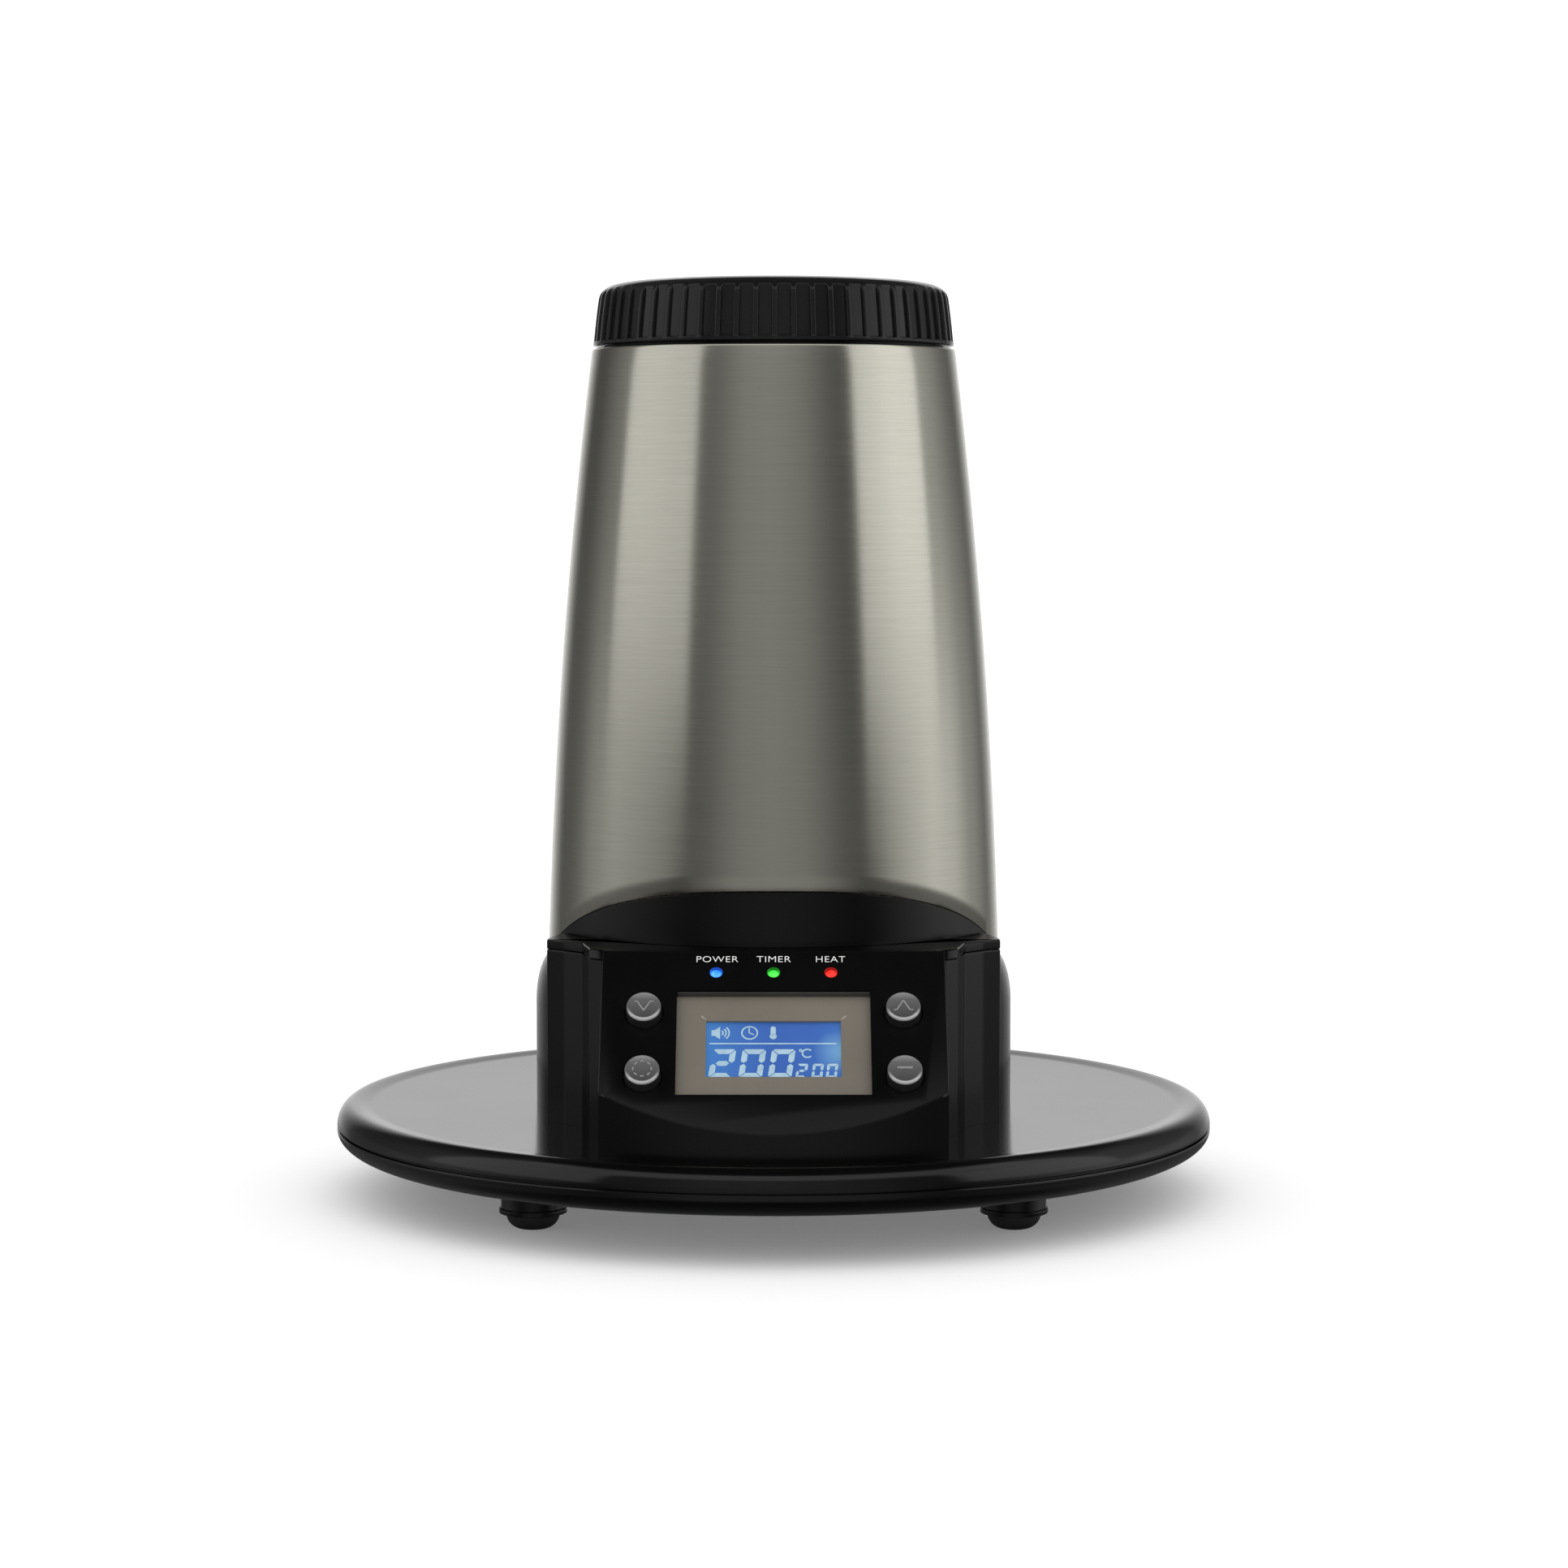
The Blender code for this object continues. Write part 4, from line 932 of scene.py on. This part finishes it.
def make_console():
    cover_low = box_mm("console_top_cover")[0]
    plate_z = CONSOLE_TOP - PARTING_DROP
    floor_z = BASE_FLAT_Z + SEAT
    back = [front_point(CONSOLE_BACK_R, angle, 0)[:2] for angle in spaced(58, -58, 33)]
    side = eased(CONSOLE_SIDE)[1:]
    outline = apron_arc(49) + side + back + mirrored(side)

    def slope(y, drop):
        return min(plate_z - 0.12, PANEL_LOW.z + APRON_R + y - drop)

    edge = HOUSING_EDGE
    skin = inset(outline, edge)
    hollow = inset(outline, 1.0)
    loops = [
        [(x, y, floor_z) for x, y in outline],
        [(x, y, slope(y, 0.1) - 1.8 * edge) for x, y in outline],
        [(x, y, slope(y, 0.1) - edge) for x, y in outline],
        [(x, y, slope(y, 0.1) - 0.3 * edge) for x, y in inset(outline, 0.3 * edge)],
        [(x, y, slope(y, 0.1)) for x, y in skin],
        [(x, y, slope(y, 2.0)) for x, y in hollow],
        [(x, y, floor_z) for x, y in hollow],
    ]
    evened(stand_in("console_housing", loft_bm(loops, ring=True), "tower_plastic", sharp=60))

    arc = spaced(COVER_BACK_HALF, -COVER_BACK_HALF, 61)
    cover_back = [front_point(COVER_BACK_R, angle, 0)[:2] for angle in arc]
    loops = []
    edge = COVER_EDGE
    levels = (
        (plate_z, 0.12), (plate_z + 0.12, 0.0), (CONSOLE_TOP - edge, 0.0),
        (CONSOLE_TOP - 0.55 * edge, 0.12 * edge), (CONSOLE_TOP - 0.2 * edge, 0.4 * edge), (CONSOLE_TOP, edge),
    )
    for z, shrink in levels:
        front_y = z - APRON_R - PANEL_LOW.z + 1.95 * ROOT2
        right = [(PANEL_HALF - 0.3, front_y)] + [p for p in side if p[1] > -70.6][:-7] + [COVER_CORNER]
        ring = mirrored(right) + right + cover_back
        loops.append([(x, y, z) for x, y in (inset(ring, shrink) if shrink else ring)])
    evened(finish_mesh("console_cover_finish", loft_bm(loops), "tower_plastic",
                       nodes=("console_top_cover",), sharp=60))
    lip = [front_point(70.4, a, 0)[:2] for a in spaced(-61, 61, 49)]
    lip += [front_point(67.6, a, 0)[:2] for a in spaced(61, -61, 49)]
    finish_mesh("console_cover_lip", plates_bm([lip], cover_low.z, plate_z - SEAT), "tower_plastic")

    top_s = (CONSOLE_TOP - PANEL_LOW.z) * ROOT2
    foot = [(x, (y + APRON_R) * ROOT2) for x, y in apron_arc(49)]
    face = foot + [(PANEL_HALF, top_s), (-PANEL_HALF, top_s)]
    eased_face = inset(face, 0.22)
    under = [(x, top_s + 1.9 if y > top_s - 5 else y) for x, y in inset(face, 2.0)]
    loops = [
        [(x, s, -1.9) for x, s in under],
        [(x, s, -0.25) for x, s in face],
        [(x, s, -0.07) for x, s in inset(face, 0.07)],
        [(x, s, 0) for x, s in eased_face],
    ]
    panel = stand_in("console_panel", loft_bm(loops), "panel_plastic", matrix=PANEL_AT)
    holes = [box_outline(*DISPLAY_WINDOW)]
    holes += [circle_outline(x, s, KEY_HOLE_R, 64) for x in (-BUTTON_X, BUTTON_X) for s in BUTTON_S]
    holes += [circle_outline(x, LED_S, LED_HOLE_R, 40) for x in LED_X]
    cut_with(panel, plates_bm(holes, -5, 5), "panel_hole_guide", PANEL_AT)


# ---------------- keys, lamps and display

# On the panel, X runs to the right, S up the slope from the panel's foot, and W out of its face.
DISPLAY_WINDOW = (-26.8, 13.3, 26.8, 49.0)
KEY_HOLE_R = 5.5
LED_HOLE_R = 1.9
BUTTON_X = 35.8
BUTTON_S = (19.5, 41.2)
LED_X = (-16.0, 0.0, 16.0)
LED_S = 55.5
KEY_FACE = 3.5
EMBOSS = 0.16


def stroke(x0, y0, x1, y1, width):
    """A straight bar with flat ends."""
    along = Vector((x1 - x0, y1 - y0)).normalized() * (width / 2)
    across = Vector((-along.y, along.x))
    a, b = Vector((x0, y0)), Vector((x1, y1))
    return [tuple(a - across), tuple(b - across), tuple(b + across), tuple(a + across)]


def chevron(direction):
    """A V, or with direction -1 the same upside down."""
    bars = []
    for side in (-1, 1):
        bars += [
            stroke(0, -1.75 * direction, side * 1.75, 1.35 * direction, 0.42),
            stroke(side * 1.6, 1.45 * direction, side * 2.75, 1.45 * direction, 0.36),
        ]
    return bars


def key_sign(side, row):
    if row == "upper":
        return chevron(1 if side == "left" else -1)
    if side == "right":
        return [rounded_bar(0, 0.4, 4.4, 0.7)]
    return [ring_outline(0, 0, 2.75, 2.3, middle - 13, middle + 13, 7) for middle in range(90, 450, 45)]


def rounded_bar(x, y, length, width):
    radius = width / 2
    half = length / 2 - width / 2

    def end(middle, start):
        turns = [math.radians(a) for a in range(start, start + 181, 30)]
        return [(middle + radius * math.cos(t), y + radius * math.sin(t)) for t in turns]

    return end(x - half, 90) + end(x + half, -90)


def make_keys():
    profile = [(0, -6.0), (2.0, -6.0), (2.0, -3.9), (6.4, -3.9), (6.4, -2.4), (5.2, -2.4), (5.15, 0.0),
               (4.78, 3.0), (4.74, 3.15), (4.67, 3.3), (4.57, 3.42), (4.45, 3.49), (4.3, 3.5), (4.15, 3.46),
               (3.9, 3.42), (2.4, 3.4), (0, KEY_FACE - 0.1)]
    for side, x in (("left", -BUTTON_X), ("right", BUTTON_X)):
        for row, s in zip(("lower", "upper"), BUTTON_S):
            name = f"{side}_{row}"
            at = PANEL_AT @ Matrix.Translation(Vector((x, s, 0)) * MM)
            body = f"key_{name}"
            finish_mesh(f"key_{name}_cap", turned_bm(profile, 96), f"key_{name}", body, (f"button_{name}",),
                        matrix=at, sharp=40)
            sign = plates_bm(key_sign(side, row), KEY_FACE - 0.3, KEY_FACE - 0.1 + EMBOSS)
            finish_mesh(f"key_{name}_sign", sign, "key_sign", body, matrix=at)


def make_lamps():
    tube = [(2.1, -5.2), (2.1, -4.4), (1.84, -4.4), (1.84, -0.06), (1.8, -0.02), (1.74, -0.02), (1.7, -0.06),
            (1.64, -1.0), (1.64, -5.2)]
    lens = [(0, -5.1), (1.6, -5.1), (1.6, -1.05)] + ellipse_quarter(0, -1.05, 1.6, 0.25, 8)[1:]
    for node, x in zip(("led_power", "led_timer", "led_heat"), LED_X):
        at = PANEL_AT @ Matrix.Translation(Vector((x, LED_S, 0)) * MM)
        key = node.replace("led", "lamp")
        finish_mesh(f"{node}_lens", turned_bm(lens, 48), key, nodes=(node,), matrix=at)
        finish_mesh(f"{node}_tube", turned_bm(tube, 48), f"{key}_tube", matrix=at)


LETTER_LOW = 59.12
LETTER_HIGH = 61.18
LABELS = (("POWER", -21.5, -9.9), ("TIMER", -4.7, 4.8), ("HEAT", 11.85, 20.0))


def make_labels():
    """Plain function words over the lamps, printed as a film 0.05 mm thick, with a faint painted glow."""
    for text, left, right in LABELS:
        curve = bpy.data.curves.new(f"label_{text.lower()}", "FONT")
        curve.body = text
        curve.extrude = 0.02
        curve.offset = -0.012
        curve.space_character = 1.06
        helper = new_object("label_helper", curve)
        bpy.context.view_layer.update()
        mesh = bpy.data.meshes.new_from_object(helper.evaluated_get(bpy.context.evaluated_depsgraph_get()))
        bpy.data.objects.remove(helper)
        bm = bmesh.new()
        bm.from_mesh(mesh)
        bpy.data.meshes.remove(mesh)
        bmesh.ops.remove_doubles(bm, verts=bm.verts, dist=1e-5)
        xs = [v.co.x for v in bm.verts]
        ys = [v.co.y for v in bm.verts]
        for v in bm.verts:
            v.co.x = left + (v.co.x - min(xs)) / (max(xs) - min(xs)) * (right - left)
            v.co.y = LETTER_LOW + (v.co.y - min(ys)) / (max(ys) - min(ys)) * (LETTER_HIGH - LETTER_LOW)
            v.co.z = 0.05 if v.co.z > 0 else -0.05
        finish_mesh(f"label_{text.lower()}", bm, "print_white_painted_glow", matrix=PANEL_AT)


SEGMENTS = {"0": "abcdef", "2": "abged"}
DIGIT_SLANT = 0.126
DIGITS_S = 21.3  # foot of both rows of digits
LARGE_DIGITS = ((-18.1, -9.85, -1.75), 6.75, 9.95, 1.85)  # left edges, width, height, bar
SMALL_DIGITS = ((5.85, 10.2, 14.15), 3.15, 4.95, 0.92)
READING = "200"
CELL_W = -3.3  # the glass's front face


def seven_segment(digit, x, s, width, height, bar):
    """The lit segments of a digit: bars with cut corners, parted by thin gaps and leaning to the right."""
    chip = 0.42 * bar
    middle = height / 2
    gap = 0.045 * bar + 0.03
    end = 0.42 * bar
    upper = [(0, height - chip), (0.5 * chip, height - 0.5 * chip), (bar, height - bar), (bar, middle + end),
             (0.5 * bar, middle + 0.05), (0, middle + end)]
    top = [(chip, height), (0.5 * chip, height - 0.5 * chip), (bar, height - bar),
           (width - bar, height - bar), (width - 0.5 * chip, height - 0.5 * chip), (width - chip, height)]
    near, far, half = 1.2 * bar, width - 1.2 * bar, 0.5 * bar
    bridge = [(0.75 * bar, middle), (near, middle + half), (far, middle + half), (width - 0.75 * bar, middle),
              (far, middle - half), (near, middle - half)]

    def flipped(points, across, over):
        return [(width - px if across else px, height - py if over else py) for px, py in points]

    shapes = {
        "a": top, "d": flipped(top, False, True), "g": bridge, "f": upper, "b": flipped(upper, True, False),
        "e": flipped(upper, False, True), "c": flipped(upper, True, True),
    }
    result = []
    for letter in SEGMENTS[digit]:
        outline = shapes[letter]
        area = sum(p[0] * q[1] - q[0] * p[1] for p, q in zip(outline, outline[1:] + outline[:1]))
        outline = inset(outline if area > 0 else outline[::-1], gap)
        result.append([(x + px + DIGIT_SLANT * py, s + py) for px, py in outline])
    return result


def display_shapes():
    shapes = []
    for edges, width, height, bar in (LARGE_DIGITS, SMALL_DIGITS):
        for digit, x in zip(READING, edges):
            shapes += seven_segment(digit, x, DIGITS_S, width, height, bar)
    horn = [(-17.15, 35.8), (-16.3, 35.8), (-14.75, 34.6), (-14.75, 38.9), (-16.3, 37.7), (-17.15, 37.7)]
    waves = [ring_outline(-15.0, 36.75, radius, radius - 0.42, -44, 44, 14) for radius in (1.25, 2.1, 2.95)]
    return shapes + [
        box_outline(-17.7, 32.9, 17.35, 33.3),
        ring_outline(7.45, 30.75, 0.5, 0.16, 0, 359, 20),
        ring_outline(9.3, 29.75, 1.6, 1.15, 42, 318, 24),
        horn, *waves,
        ring_outline(-6.62, 36.8, 2.35, 1.95, 0, 359, 40),
        stroke(-6.75, 38.6, -6.75, 36.75, 0.34),
        stroke(-6.6, 36.7, -5.45, 36.25, 0.34),
        rounded_bar_upright(-0.1, 37.35, 3.4, 1.45),
        circle_outline(-0.1, 35.6, 0.98, 24),
    ]


def rounded_bar_upright(x, y, length, width):
    return [(x - (b - y), y + (a - x)) for a, b in rounded_bar(x, y, length, width)]


def make_display():
    refined_copy("display_bezel", "bezel_plastic", 0.12)
    finish_mesh("display_glass", plates_bm([box_outline(-24, 17, 24, 46)], CELL_W - 1.9, CELL_W),
                "display_blue", nodes=("lcd_cell",), matrix=PANEL_AT)
    for i, shape in enumerate(display_shapes()):
        finish_mesh(f"display_sign_{i:02d}", plates_bm([shape], CELL_W + 0.02, CELL_W + 0.1), "segments",
                    matrix=PANEL_AT)
    tick = ((18.45, 40.35), (19.5, 40.95), (20.1, 41.5), (20.05, 42.0), (19.6, 41.95))
    ticks = [[(side * x, s) for x, s in tick][::side] for side in (-1, 1)]
    finish_mesh("bezel_ticks", plates_bm(ticks, -2.3, -2.16), "tick_plastic", matrix=PANEL_AT)
    # painted reflection: a grey upstand covers the window's top wall in place of the floor's reflection there
    wall = finish_mesh("bezel_upstand", plates_bm([box_outline(-26.7, 48.55, 26.7, 48.9)], -2.3, -0.3),
                       "upstand_painted_reflection", matrix=PANEL_AT)
    bevelled(wall, 0.12)


# ---------------- pieces kept from the CAD

KEPT = {
    "ballast_ring": "plate_steel", "insulation_sleeve": "wool", "switch": "resin", "base_screw": "zinc",
    "display_backlight": "milky", "led_board": "board", "control_board": "board", "power_board": "board",
    "transformer": "resin", "buzzer": "resin", "fan_stator": "resin", "thermal_fuse": "resin",
    "fan_shaft": "zinc", "temperature_sensor": "zinc", "air_duct": "spun_aluminium", "heater_frame": "mica",
    "heater_coil": "wire", "fan_impeller": "tower_plastic", "fan_frame": "tower_plastic",
}


def finish_kept():
    for name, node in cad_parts.items():
        for start, finish in KEPT.items():
            if name.startswith(start):
                node.data.materials.clear()
                node.data.materials.append(FINISHES[finish])
    refined_copy("mains_inlet", "resin", 0.4)


make_camera()
make_studio()
make_finishes()
make_base()
make_feet()
make_tower()
make_lid()
make_neck_and_pot()
make_console()
make_keys()
make_lamps()
make_labels()
make_display()
finish_kept()
